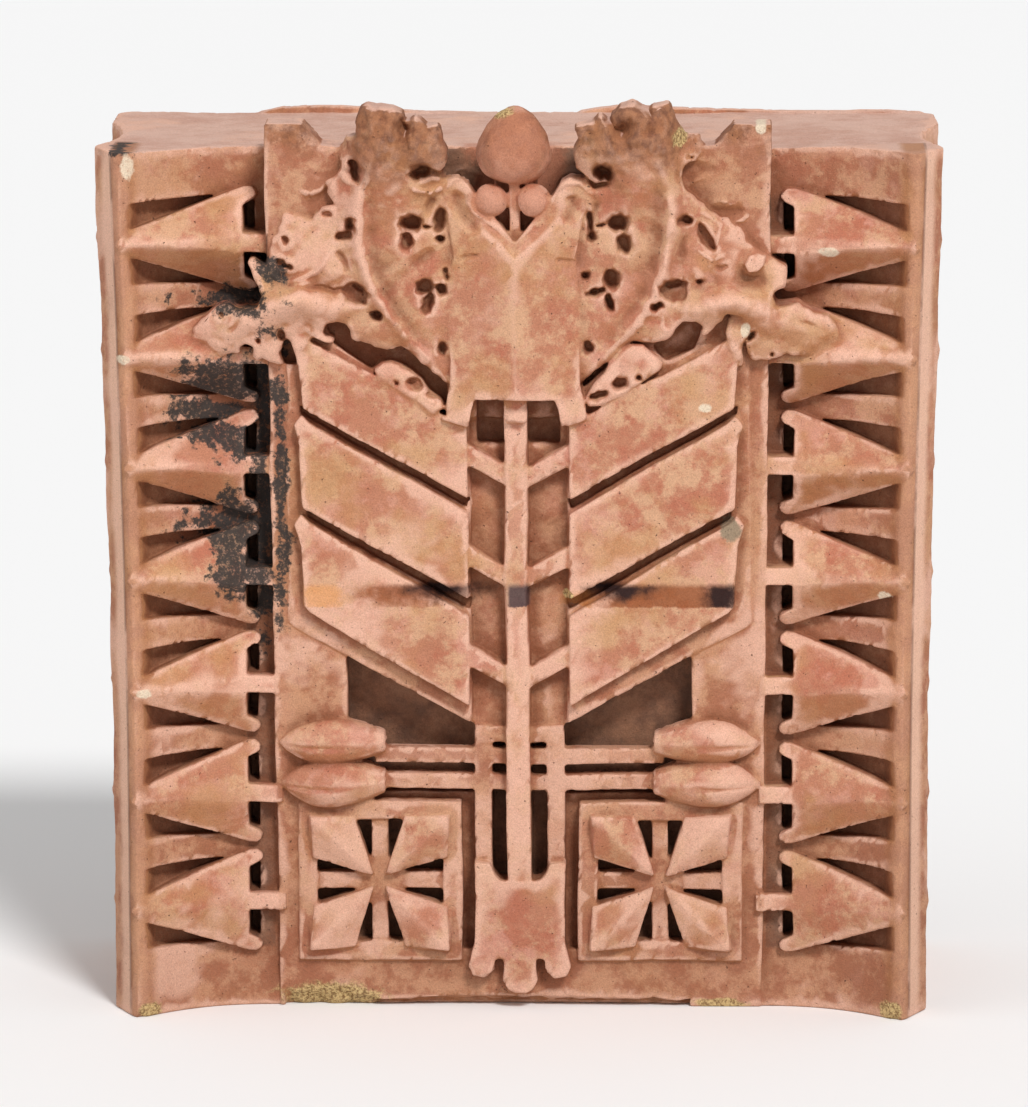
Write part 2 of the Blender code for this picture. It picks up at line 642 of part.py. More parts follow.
def add_centre_plate(bm):
    """The folded plate above the stem: two lobes, a deep V between them and two feet."""
    right = [(0.0, 0.4283), (0.0205, 0.4540), (0.0245, 0.4610), (0.0300, 0.4640),
             (0.0370, 0.4622), (0.0420, 0.4570), (0.0405, 0.4510), (0.0365, 0.4440),
             (0.0330, 0.4200), (0.0352, 0.3860), (0.0352, 0.3500), (0.0392, 0.3310),
             (0.0245, 0.3268), (0.0228, 0.3370), (0.0213, 0.3420), (0.0, 0.3420)]
    halves = []
    for side in (1, -1):
        front = []
        for x, z in right:
            place_z = up(z)
            proud = CENTRE_PLATE_PROUD + CENTRE_PLATE_FOLD * (1 - x / 0.042)
            front.append((CREST_SHIFT + side * across(x), slab_face(place_z, proud), place_z))
        halves.append(front)
    right_side, left = halves
    count = len(right)
    points = right_side + left[1:-1]
    ring_right = list(range(count))
    ring_left = [0] + list(range(count, count + len(left) - 2)) + [count - 1]
    add_solid(bm, points, [ring_right, ring_left[::-1]], lambda p: slab_face(p[2], -0.006))


def add_ball(bm, centre, radii, segments, rings):
    made = bmesh.ops.create_uvsphere(bm, u_segments=segments, v_segments=rings, radius=1.0)
    for vert in made["verts"]:
        taper = 1.0 - 0.14 * max(0.0, vert.co.z) ** 2
        vert.co = Vector((centre[0] + vert.co.x * radii[0] * taper,
                          centre[1] + vert.co.y * radii[1] * taper,
                          centre[2] + vert.co.z * radii[2]))


def add_egg(bm):
    """The egg on its short stalk, the two berries below it and what ties them to the slab."""
    egg_y = slab_face(HEIGHT, EGG_PROUD) + EGG_HALF_WIDTH
    add_ball(bm, (CREST_SHIFT, egg_y, up(EGG_CENTRE)),
             (EGG_HALF_WIDTH, EGG_HALF_WIDTH, EGG_HALF_HEIGHT), 14, 9)
    for side in (-1, 1):
        add_ball(bm, (CREST_SHIFT + side * BERRY_SPREAD, slab_face(HEIGHT, 0.012) + 0.004,
                      up(BERRY_CENTRE)), (BERRY_RADIUS, BERRY_RADIUS, BERRY_RADIUS), 10, 7)
    reach = EGG_CENTRE - EGG_HALF_HEIGHT * 0.7
    stalk = [(-0.0030, 0.428), (0.0030, 0.428), (0.0026, reach), (-0.0026, reach)]
    layer(bm, [(x + CREST_SHIFT, z) for x, z in stalk], 0.0105, 0.008)
    add_box(bm, (CREST_SHIFT - 0.011, slab_face(HEIGHT, -0.004), up(0.430)),
            (CREST_SHIFT + 0.011, SLAB_TOP_DEPTH + SLAB_THICKNESS + 0.012,
             up(EGG_CENTRE - EGG_HALF_HEIGHT * 0.24)))


# Leaves of one side. Each is a chain of (x, z, half width, proud) from its root to its tip.
LEAVES = (
    ((0.0390, 0.3520, 0.004, 0.009), (0.0475, 0.3700, 0.008, 0.012), (0.0600, 0.3920, 0.011, 0.016),
     (0.0720, 0.4200, 0.014, 0.019), (0.0740, 0.4450, 0.018, 0.021), (0.0700, 0.4700, 0.022, 0.024)),
    ((0.0480, 0.3560, 0.008, 0.009), (0.0490, 0.3850, 0.011, 0.011), (0.0480, 0.4250, 0.012, 0.013),
     (0.0480, 0.4550, 0.010, 0.016)),
    ((0.0840, 0.4380, 0.012, 0.013), (0.0980, 0.4480, 0.011, 0.011)),
    ((0.0800, 0.4550, 0.014, 0.014), (0.0960, 0.4660, 0.009, 0.010)),
    ((0.0800, 0.4060, 0.012, 0.013), (0.1000, 0.4180, 0.016, 0.014), (0.1180, 0.4180, 0.013, 0.011),
     (0.1280, 0.4120, 0.007, 0.008)),
    ((0.0520, 0.3640, 0.006, 0.010), (0.0760, 0.3800, 0.011, 0.014), (0.0980, 0.3930, 0.013, 0.019),
     (0.1220, 0.3880, 0.014, 0.019), (0.1360, 0.3760, 0.013, 0.015), (0.1500, 0.3770, 0.010, 0.010)),
    ((0.1240, 0.3980, 0.010, 0.012), (0.1360, 0.4080, 0.007, 0.008)),
    ((0.1360, 0.3860, 0.010, 0.013), (0.1520, 0.3870, 0.007, 0.008)),
    ((0.0940, 0.3860, 0.010, 0.012), (0.1120, 0.3740, 0.012, 0.011), (0.1280, 0.3660, 0.007, 0.008)),
    ((0.0460, 0.3460, 0.006, 0.009), (0.0580, 0.3520, 0.007, 0.011), (0.0720, 0.3580, 0.007, 0.010)),
)

# Knobs of the rolled leaf tops, as (x, z, radius, proud)
KNOBS = ((0.0770, 0.4890, 0.0120, 0.027), (0.0590, 0.4870, 0.0110, 0.028),
         (0.0455, 0.4790, 0.0100, 0.025), (0.0400, 0.4660, 0.0065, 0.020))

# Drilled eyes of the leaves, as (x, z, half width, half height)
EYES = ((0.0850, 0.4670, 0.0034, 0.0064), (0.0915, 0.4330, 0.0052, 0.0060),
        (0.0875, 0.3990, 0.0058, 0.0052), (0.0965, 0.3780, 0.0068, 0.0048),
        (0.0570, 0.4350, 0.0050, 0.0064), (0.0455, 0.4010, 0.0070, 0.0076),
        (0.1240, 0.3700, 0.0034, 0.0060), (0.0385, 0.3700, 0.0036, 0.0046),
        (0.0700, 0.3680, 0.0120, 0.0030))


def leaf_relief(x, z):
    """How far the leaves stand out at that place of one side, and how deep inside their
    outline it is (below zero outside it and in the drilled eyes)."""
    inside, proud = -1.0, 0.0
    for chain in list(LEAVES) + [((kx, kz, r, p),) * 2 for kx, kz, r, p in KNOBS]:
        for (x0, z0, r0, p0), (x1, z1, r1, p1) in zip(chain, chain[1:]):
            run_x, run_z = x1 - x0, z1 - z0
            length = run_x * run_x + run_z * run_z
            share = 0.0
            if length > 0:
                share = min(1.0, max(0.0, ((x - x0) * run_x + (z - z0) * run_z) / length))
            radius = r0 + (r1 - r0) * share
            off = math.hypot(x - x0 - run_x * share, z - z0 - run_z * share) / radius
            inside = max(inside, (1.0 - off) * radius)
            if off < 1.2:
                crown = (p0 + (p1 - p0) * share) * (1.0 - LEAF_CROWN * off * off)
                proud = max(proud, crown)
    for ex, ez, wide, tall in EYES:
        off = math.hypot((x - ex) / wide, (z - ez) / tall)
        inside = min(inside, (off - 1.0) * min(wide, tall))
    return inside, max(proud, LEAF_EDGE)


def leaf_back(point):
    """The y that a leaf's root reaches behind that place of its face."""
    if point[2] > up(CREST_FLOOR) - 0.006:
        return SLAB_TOP_DEPTH + SLAB_THICKNESS * 0.8
    if abs(point[0]) > slab_half(point[2]) - 0.012:
        return COVE_DEPTH + 0.003
    return slab_face(point[2], -0.007)


def add_leaves(bm):
    """The leaves of each side as one relief, laid out in cells and cut off at its outline."""
    columns = int((LEAF_OUTER - LEAF_INNER) / LEAF_CELL)
    rows = int((LEAF_TOP - LEAF_FOOT) / LEAF_CELL)
    inside = {}
    for i in range(columns + 1):
        for j in range(rows + 1):
            place = (LEAF_INNER + LEAF_CELL * i, LEAF_FOOT + LEAF_CELL * j)
            inside[(i, j)] = leaf_relief(*place)[0]
    numbers, places = {}, []

    def number(a, b):
        """The point on the outline between two corners, or the corner itself."""
        key = (min(a, b), max(a, b))
        if key not in numbers:
            share = 0.0
            if a != b:
                a, b = key
                share = inside[a] / (inside[a] - inside[b])
                share = min(0.82, max(0.18, share))
            places.append((LEAF_INNER + LEAF_CELL * (a[0] + (b[0] - a[0]) * share),
                           LEAF_FOOT + LEAF_CELL * (a[1] + (b[1] - a[1]) * share)))
            numbers[key] = len(places) - 1
        return numbers[key]

    faces = []
    for i in range(columns):
        for j in range(rows):
            corners = [(i, j), (i + 1, j), (i + 1, j + 1), (i, j + 1)]
            face = []
            for a, b in zip(corners, corners[1:] + corners[:1]):
                if inside[a] > 0:
                    face.append(number(a, a))
                if (inside[a] > 0) != (inside[b] > 0):
                    face.append(number(a, b))
            if len(face) > 2:
                faces.append(face)
    for side in (-1, 1):
        front = []
        for x, z in places:
            place_z = up(z)
            front.append((CREST_SHIFT + side * across(x),
                          slab_face(place_z, leaf_relief(x, z)[1]), place_z))
        add_solid(bm, front, faces, leaf_back)


def add_lip(bm):
    """The low ragged ridge of bedding along the rear edge of the bed."""
    runs = ((-0.150, -0.030), (0.030, 0.222))
    for start, end in runs:
        steps = 9
        outline = [(start, HEIGHT - 0.004)]
        for i in range(steps + 1):
            share = i / steps
            x = start + (end - start) * share
            tall = LIP_HEIGHT * (0.62 + 0.38 * math.sin(5.1 * share + 40 * start))
            outline.append((x, HEIGHT + tall * min(1.0, 6 * share + 0.25, 6 * (1 - share) + 0.25)))
        outline.append((end, HEIGHT - 0.004))
        front = [(across(x), DEPTH - LIP_DEPTH, z) for x, z in outline]
        add_solid(bm, front, [list(range(len(front)))], DEPTH - 0.0009)


def add_chips(bm):
    """The broken arris along the foot of the slab and the two chipped corners."""
    steps = 8
    start, end = -0.078, 0.092
    front = []
    for i in range(steps + 1):
        share = i / steps
        x = start + (end - start) * share
        tall = CHIP_HEIGHT * (0.3 + 0.6 * math.sin(math.pi * share) ** 0.5 + 0.1 * math.sin(7.0 * i))
        front += [(x, SLAB_BASE_DEPTH - 0.02, -0.01), (x, SLAB_BASE_DEPTH - 0.02, tall),
                  (x, SLAB_BASE_DEPTH + 0.001, tall), (x, SLAB_BASE_DEPTH + CHIP_DEPTH, -0.001)]
    add_tube(bm, front, steps + 1, 4)


def add_tube(bm, points, count, ring):
    verts = [bm.verts.new(p) for p in points]
    made = [bm.faces.new(verts[:ring]), bm.faces.new(verts[-ring:])]
    for i in range(count - 1):
        for k in range(ring):
            j = (k + 1) % ring
            made.append(bm.faces.new([verts[i * ring + k], verts[i * ring + j],
                                      verts[(i + 1) * ring + j], verts[(i + 1) * ring + k]]))
    bmesh.ops.recalc_face_normals(bm, faces=made)


def group(name, *builders):
    bm = bmesh.new()
    for build in builders:
        build(bm)
    return new_object(name, bm)


def boolean(target, other, operation):
    """Applies other to target as a Boolean modifier, and keeps other as a hidden guide."""
    other.hide_render = True
    other.display_type = "WIRE"
    modifier = target.modifiers.new(other.name, "BOOLEAN")
    modifier.operation = operation
    modifier.solver = "EXACT"
    modifier.use_self = True
    modifier.object = other


def main():
    for old in list(bpy.data.objects):
        bpy.data.objects.remove(old)
    capital = make_block()
    boolean(capital, make_bed_cutter(), "DIFFERENCE")
    boolean(capital, group("crest_cutter", add_crest_cut), "DIFFERENCE")
    boolean(capital, group("pocket_cutter", add_front_pockets), "DIFFERENCE")
    boolean(capital, group("recess_cutter", add_slab_recesses), "DIFFERENCE")
    boolean(capital, group("dart_guide", add_front_darts, add_side_darts, add_lip), "UNION")
    boolean(capital, group("slab_guide", add_backing, add_chevrons, add_stem, add_panels,
                           add_buds), "UNION")
    boolean(capital, group("leaf_guide", add_leaves), "UNION")
    boolean(capital, group("fold_guide", add_centre_plate), "UNION")
    boolean(capital, group("egg_guide", add_egg), "UNION")
    boolean(capital, group("chip_cutter", add_chips), "DIFFERENCE")
    planes = capital.modifiers.new("planes", "DECIMATE")
    planes.decimate_type = "DISSOLVE"
    planes.angle_limit = math.radians(0.1)

    material = bpy.data.materials.new("terracotta")
    material.use_nodes = True
    shader = material.node_tree.nodes["Principled BSDF"]
    shader.inputs["Base Color"].default_value = TERRACOTTA
    shader.inputs["Roughness"].default_value = 0.85
    capital.data.materials.append(material)

    for drawn in bpy.data.objects:
        drawn.location.y = -DEPTH / 2


main()
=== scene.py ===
"""The looks of the moulded terracotta pier capital.

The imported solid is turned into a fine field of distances, its leaves, darts, egg and buds are
carved anew in that field, and the result is meshed as one cast piece with a fired clay surface.
Lengths are in metres. While the block is carved, y = 0 is the plane of its two front corners.
"""

import math

import bpy
import numpy as np
import openvdb as vdb
from mathutils import Matrix, Vector


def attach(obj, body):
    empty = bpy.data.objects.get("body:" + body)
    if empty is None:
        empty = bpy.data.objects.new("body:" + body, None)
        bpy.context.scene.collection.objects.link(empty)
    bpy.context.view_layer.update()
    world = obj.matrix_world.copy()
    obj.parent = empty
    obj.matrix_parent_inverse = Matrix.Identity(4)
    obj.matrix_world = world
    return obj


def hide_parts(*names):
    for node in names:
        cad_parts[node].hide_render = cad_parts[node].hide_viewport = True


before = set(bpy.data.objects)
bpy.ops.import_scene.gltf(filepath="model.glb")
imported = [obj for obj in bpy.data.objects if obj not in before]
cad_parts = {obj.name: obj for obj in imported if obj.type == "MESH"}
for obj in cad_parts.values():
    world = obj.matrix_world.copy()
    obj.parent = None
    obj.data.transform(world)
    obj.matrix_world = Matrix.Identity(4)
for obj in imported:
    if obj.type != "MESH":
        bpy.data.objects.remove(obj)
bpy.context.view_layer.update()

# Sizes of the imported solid
HEIGHT = 0.475
WIDTH_BASE = 0.445
WIDTH_TOP = 0.458
DEPTH = 0.204
FLARE_START = 0.147
FLARE_POWER = 1.5
CORNER_RUN = 0.0140
STRIP_WIDTH = 0.0045
STRIP_DEPTH = 0.0015
COVE_DEPTH = 0.034
COVE_POWER = 2.4
SLAB_HALF_BASE = 0.132
SLAB_HALF_TOP = 0.136
SLAB_BASE_DEPTH = 0.032
SLAB_TOP_DEPTH = 0.002
CREST_SHIFT = -0.0015

# The field, the faces of the finished mesh, and how far back a relief reaches
VOXEL = 0.0008
BAND = 4
LIMIT = VOXEL * BAND
FACES = 195000
FAR = 1e9
RELIEF_BACK = 0.0290


def half_width(z):
    climb = np.clip((z - FLARE_START) / (HEIGHT - FLARE_START), 0.0, None)
    return (WIDTH_BASE + (WIDTH_TOP - WIDTH_BASE) * climb ** FLARE_POWER) / 2


def slab_half(z):
    return SLAB_HALF_BASE + (SLAB_HALF_TOP - SLAB_HALF_BASE) * z / HEIGHT


def slab_face(z):
    return SLAB_BASE_DEPTH + (SLAB_TOP_DEPTH - SLAB_BASE_DEPTH) * z / HEIGHT


def cove_depth(x, z):
    start = half_width(z) - CORNER_RUN - STRIP_WIDTH
    share = np.clip((start - abs(x)) / (start - slab_half(z)), 0.0, 1.0)
    return STRIP_DEPTH + (COVE_DEPTH - STRIP_DEPTH) * (1 - (1 - share) ** COVE_POWER)


def deep(sheet):
    """A sheet of values over x and z, or one value, made ready to be set against y."""
    return sheet[:, None, :] if np.ndim(sheet) else sheet


def blur(cells, side):
    """One pass of a small rounding filter along each axis."""
    for axis in range(3):
        moved = np.moveaxis(cells, axis, 0)
        inner = moved[1:-1] * (1 - 2 * side)
        inner += side * moved[:-2]
        inner += side * moved[2:]
        moved[1:-1] = inner


class Field:
    """A block of distances to the surface, below zero inside the clay."""

    def __init__(self, solid):
        solid.data.calc_loop_triangles()
        corners = np.empty(len(solid.data.loop_triangles) * 3, np.int32)
        solid.data.loop_triangles.foreach_get("vertices", corners)
        self.frame = vdb.createLinearTransform(voxelSize=VOXEL)
        grid = vdb.FloatGrid.createLevelSetFromPolygons(
            points_of(solid.data), triangles=corners.reshape(-1, 3).astype(np.uint32),
            transform=self.frame, halfWidth=BAND)
        low, high = grid.evalActiveVoxelBoundingBox()
        self.low = np.array(low) - BAND
        shape = np.array(high) + BAND + 1 - self.low
        self.cells = np.empty(tuple(shape.tolist()), np.float32)
        grid.copyToArray(self.cells, ijk=tuple(self.low.tolist()))

    def part(self, low, high):
        first = np.floor(np.array(low) / VOXEL).astype(int) - self.low
        last = np.ceil(np.array(high) / VOXEL).astype(int) + 1 - self.low
        first = np.clip(first, 0, self.cells.shape)
        last = np.clip(last, 0, self.cells.shape)
        return Part(self, first, last)

    def mesh(self):
        grid = vdb.FloatGrid(LIMIT)
        grid.transform = self.frame
        grid.copyFromArray(self.cells, ijk=tuple(self.low.tolist()))
        return grid.convertToPolygons(isovalue=0.0, adaptivity=0.0)


class Part:
    """A box of a field's cells, with their x and z as a sheet and their y as the depth behind it."""

    def __init__(self, field, first, last):
        self.cells = field.cells[tuple(slice(a, b) for a, b in zip(first, last))]
        axes = [((np.arange(a, b) + o) * VOXEL).astype(np.float32)
                for a, b, o in zip(first, last, field.low)]
        self.x, self.z = axes[0][:, None], axes[2][None, :]
        self.y = axes[1][None, :, None]
        self.places = (deep(self.x), self.y, deep(self.z))

    def keep(self, values):
        self.cells[...] = np.clip(values, -LIMIT, LIMIT)

    def add(self, form, soft=0.0, sign=1):
        """Adds a form, with a fillet of about that size around it."""
        old = sign * self.cells
        new = np.minimum(old, form)
        if soft > 0:
            near = np.maximum(soft - np.abs(old - form), 0) / soft
            new = new - near * near * soft / 4
        self.keep(sign * new)

    def cut(self, form, soft=0.0):
        self.add(form, soft, sign=-1)

    def rise(self, edge, level, soft=0.0):
        """Adds an outline, forward to that level."""
        self.add(np.maximum(deep(edge), deep(level) - self.y), soft)

    def sink(self, edge, level, soft=0.0):
        """Cuts out an outline, back to that level."""
        self.cut(np.maximum(deep(edge), self.y - deep(level)), soft)

    def behind(self, surface, *slopes):
        """Distance to a surface with those slopes, below zero behind it."""
        return (deep(surface) - self.y) / deep(np.sqrt(sum((s ** 2 for s in slopes), start=1)))

    def relief(self, height, edge, rounding, soft, back=RELIEF_BACK):
        """Adds a relief of that height over the slab, within an edge that is rounded off."""
        depth = np.clip(-edge, 0, rounding)
        height = height - rounding + np.sqrt(np.clip(depth * (2 * rounding - depth), 0, None))
        slope = np.hypot(*np.gradient(height, VOXEL))
        form = np.maximum(self.behind(slab_face(self.z) - height, slope), deep(edge))
        self.add(np.maximum(form, self.y - deep(np.broadcast_to(back, edge.shape))), soft)

    def press(self, raised):
        """Brings the front forward by a sheet of distances, or back where they are below zero."""
        count = self.cells.shape[1]
        place = np.arange(count)[None, :, None] + deep(raised) / VOXEL
        place = np.clip(place, 0, count - 1.001)
        base = place.astype(int)
        share = (place - base).astype(np.float32)
        self.cells[...] = np.take_along_axis(self.cells, base, 1) * (1 - share) \
            + np.take_along_axis(self.cells, base + 1, 1) * share


def points_of(mesh):
    """The points of a mesh, with y = 0 at the block's front corners."""
    points = np.empty(len(mesh.vertices) * 3, np.float32)
    mesh.vertices.foreach_get("co", points)
    points = points.reshape(-1, 3)
    points[:, 1] += DEPTH / 2
    return points


def off_segment(x, z, start, end):
    """The share along a segment of its nearest point, and how far x and z lie off that point."""
    run_x, run_z = end[0] - start[0], end[1] - start[1]
    share = ((x - start[0]) * run_x + (z - start[1]) * run_z) / (run_x * run_x + run_z * run_z)
    share = np.clip(share, 0, 1)
    return share, x - start[0] - run_x * share, z - start[1] - run_z * share


def polygon(x, z, outline):
    """Distance to an outline of (x, z) points, below zero inside it."""
    best = np.full(np.broadcast(x, z).shape, FAR, np.float32)
    inside = np.zeros(best.shape, bool)
    for start, end in zip(outline, outline[1:] + outline[:1]):
        share, off_x, off_z = off_segment(x, z, start, end)
        best = np.minimum(best, off_x ** 2 + off_z ** 2)
        if start[1] != end[1]:
            crosses = (start[1] > z) != (end[1] > z)
            run_x, run_z = end[0] - start[0], end[1] - start[1]
            inside ^= crosses & (x < start[0] + run_x * (z - start[1]) / run_z)
    best = np.sqrt(best)
    return np.where(inside, -best, best)


def ellipse(x, z, centre, wide, tall, turn=0.0):
    """About the distance to an ellipse with these half sizes, turned by that many degrees."""
    a = math.radians(turn)
    u = (x - centre[0]) * math.cos(a) + (z - centre[1]) * math.sin(a)
    v = (z - centre[1]) * math.cos(a) - (x - centre[0]) * math.sin(a)
    off = np.sqrt((u / wide) ** 2 + (v / tall) ** 2)
    slope = np.sqrt((u / wide ** 2) ** 2 + (v / tall ** 2) ** 2)
    return off * (off - 1) / np.maximum(slope, 1e-6)


def smooth_surface(x, z, knots, reach=0.004):
    """A smooth surface through knots of (x, z, height)."""
    knots = np.array(knots, float)
    places = knots[:, :2]
    gap = np.sqrt(((places[:, None] - places[None]) ** 2).sum(2) + reach ** 2)
    count = len(knots)
    system = np.ones((count + 1, count + 1))
    system[:count, :count] = gap
    system[count, count] = 0
    weights = np.linalg.solve(system, np.append(knots[:, 2], 0))
    total = np.full(np.broadcast(x, z).shape, weights[count], np.float32)
    for (px, pz), weight in zip(places, weights):
        total += weight * np.sqrt((x - px) ** 2 + (z - pz) ** 2 + reach ** 2)
    return total


def stroke(x, z, points, left, right, taper=5, blunt=0.25):
    """From 1 on a line of points to 0 at those distances to its left and right, and less near
    its two ends."""
    best = np.full(np.broadcast(x, z).shape, FAR, np.float32)
    value = np.zeros(best.shape, np.float32)
    count = len(points) - 1
    for i in range(count):
        (x0, z0), (x1, z1) = points[i], points[i + 1]
        share, off_x, off_z = off_segment(x, z, points[i], points[i + 1])
        gap = np.sqrt(off_x ** 2 + off_z ** 2)
        reach = np.where((x1 - x0) * off_z - (z1 - z0) * off_x > 0, left, right)
        along = (i + share) / count
        fall = np.clip(1 - gap / reach, 0, 1)
        fall = fall * np.clip(np.minimum(along, 1 - along) * taper + blunt, 0, 1)
        value = np.where(gap < best, fall, value)
        best = np.minimum(best, gap)
    return value * value * (3 - 2 * value)


def ripple(places, rise, size, seed, waves=7, level=2.6):
    """A smooth uneven wave through places, mostly within that rise and of about that length."""
    draw = np.random.default_rng(seed)
    total = 0
    for i in range(waves):
        way = draw.normal(size=len(places))
        way *= 2 * math.pi / (size * draw.uniform(0.7, 1.5)) / np.linalg.norm(way)
        total = total + np.sin(sum(a * w for a, w in zip(places, way)) + draw.uniform(0, 6.28))
    return rise * (total / level)


# Darts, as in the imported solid
DART_ROWS = 7
FIRST_DART = 0.060
DART_PITCH = 0.06087
DART_HALF_HEIGHT = 0.0282
DART_TIP_INSET = 0.0116
DART_TIP_BLUNT = 0.0005
DART_LIFT = 0.0028
DART_INNER = 0.1488
DART_EDGE = 0.0290
RIDGE_END_BASE = 0.0265
RIDGE_END_TOP = 0.0080
DART_FOLD_POWER = 2.4
SHOULDER_RUN = 0.0050
SHOULDER_RISE = 0.0066
STEM_HALF = 0.0047
STEM_OVERLAP = 0.001
PIT_RUN = 0.0066
PIT_WALL = 0.0042
PIT_DEPTH = 0.0115
BAND_HALF_OUTER = 0.0088
BAND_HALF_INNER = 0.0068
SLOT_WIDTH = 0.0062
SLOT_FLOOR = 0.052
CREASE_INSET = 0.0100

# The nib at the inner end of a dart: how far past its length, and how far off its middle
NIB = ((0.0, 0.0282), (0.0042, 0.0284), (0.0070, 0.0262), (0.0074, 0.0238), (0.0058, 0.0218),
       (0.0, 0.0190))

# The boxes and the small shaping of the coves and darts that only this script has
COVE_REACH = (0.1300, 0.2300)
COVE_FRONT = -0.008
COVE_BACK = 0.058
DART_BACK = 0.056
CARVED_BACK = 0.0565
BED_MARGIN = 0.004
CREASE_HALF = 0.0003
CREASE_DEPTH = 0.0012
BAND_BULGE = 0.0007
SLOT_SHIFT = 0.0006
SLOT_SHORTER = 0.0076
FLAT_HALF = 0.0030
FLAT_START = 0.25
FLAT_POWER = 1.3
FOLD_ROUNDING = 0.0006


def carve_cove(field, side):
    """The hollow front of one side, its pits and slots, and its column of darts."""
    reach = sorted(side * a for a in COVE_REACH)
    part = field.part((reach[0], COVE_FRONT, -BED_MARGIN), (reach[1], COVE_BACK, HEIGHT + BED_MARGIN))
    out, y, z = side * part.x, part.y, part.z
    half = half_width(z)
    ground = cove_depth(out, z)
    flat = part.behind(ground, np.gradient(ground, VOXEL, axis=0))
    slab = np.maximum(deep(out - slab_half(z)), deep(slab_face(z)) - y)
    solid = np.maximum(np.minimum(flat, slab), deep(np.maximum(-z, z - HEIGHT)))
    inside = (out > slab_half(z) + 0.0002) & (out < half - CORNER_RUN - STRIP_WIDTH)
    inside = inside & (z > -VOXEL) & (z < HEIGHT + VOXEL)
    part.keep(np.where(deep(inside) & (y < CARVED_BACK), solid, part.cells))

    part.sink(np.abs(out - half + CREASE_INSET) - CREASE_HALF, ground + CREASE_DEPTH, 0.0006)
    for row in range(DART_ROWS):
        carve_dart(field, side, FIRST_DART + DART_PITCH * row)


def carve_dart(field, side, middle):
    """The pits above and below a dart and the slot behind it, and then its folded face and stem."""
    tip = float(half_width(middle)) - DART_TIP_INSET
    length = tip - DART_INNER
    reach = sorted((side * (slab_half(middle) - 0.001), side * (tip + 0.004)))
    part = field.part((reach[0], COVE_FRONT, middle - DART_PITCH / 2),
                      (reach[1], DART_BACK, middle + DART_PITCH / 2))
    out = side * part.x
    rise = part.z - middle
    run = tip - out
    share = np.clip(run / length, 0, 1)

    level = DART_PITCH / 2 - BAND_HALF_OUTER - (BAND_HALF_INNER - BAND_HALF_OUTER) * share
    level = level + BAND_BULGE * np.sin(math.pi * share)
    drop = PIT_DEPTH * np.clip((run - PIT_RUN) / PIT_WALL, -0.3, 1)
    part.sink(np.maximum(np.abs(rise) - level, run - length), cove_depth(out, part.z) + drop)
    slot = np.abs(out - DART_INNER + SLOT_WIDTH / 2 - SLOT_SHIFT) - SLOT_WIDTH / 2
    part.sink(np.maximum(slot, np.abs(rise) - DART_HALF_HEIGHT + SLOT_SHORTER), SLOT_FLOOR)

    ridge_end = RIDGE_END_BASE + (RIDGE_END_TOP - RIDGE_END_BASE) * middle / HEIGHT
    upper = [(SHOULDER_RUN, SHOULDER_RISE)] + [(length + a, b) for a, b in NIB]
    lower = [(a, -b) for a, b in reversed(upper)]
    body = polygon(run, rise, [(-DART_TIP_BLUNT, 0.0)] + upper + [(length, 0.0)] + lower)
    ridge = ridge_end * share - DART_LIFT * (1 - share)
    fold = (DART_EDGE - ridge_end) * (1 - (1 - share) ** DART_FOLD_POWER)
    edge_rise = SHOULDER_RISE + (DART_HALF_HEIGHT - SHOULDER_RISE) \
        * (run - SHOULDER_RUN) / (length - SHOULDER_RUN)
    near_tip = SHOULDER_RISE * np.clip(run, 0.0004, 1) / SHOULDER_RUN
    edge_rise = np.where(run < SHOULDER_RUN, near_tip, np.minimum(edge_rise, DART_HALF_HEIGHT))
    plateau = np.where(rise > 0, FLAT_HALF, STEM_HALF) \
        * np.clip((share - FLAT_START) / (1 - FLAT_START), 0, 1) ** FLAT_POWER
    away = np.maximum(np.abs(rise) - plateau, 0)
    away = np.sqrt(away ** 2 + FOLD_ROUNDING ** 2) - FOLD_ROUNDING
    away = np.clip(away / (edge_rise - plateau), 0, 1.2)
    surface = ridge + fold * away
    part.add(np.maximum(deep(body), part.behind(surface, *np.gradient(surface, VOXEL))))
    part.rise(np.maximum(np.abs(rise) - STEM_HALF, length - STEM_OVERLAP - run), ridge_end, 0.0008)


# Panels and buds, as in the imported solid
PANEL_MIDDLE = 0.0766
PANEL_CENTRE = 0.0716
UPPER_BUD = 0.1500
UPPER_BUD_HALF = 0.0127
LOWER_BUD = 0.1272
LOWER_BUD_HALF = 0.0140
BUD_INNER = 0.0735
BUD_OUTER = 0.1307
BUD_PROUD = 0.0112

# Leaves, drawn on sheets of 0.11 mm squares: the left leaf from the crest's upper left, and the
# right leaf on a sheet of its own, where the left leaf's heights are mirrored
SQUARE = 0.0001104
SHEET_X = -0.16284
SHEET_Z = 0.5095
RIGHT_SHEET_X = 0.0292
SHEET_MIRROR = 1183

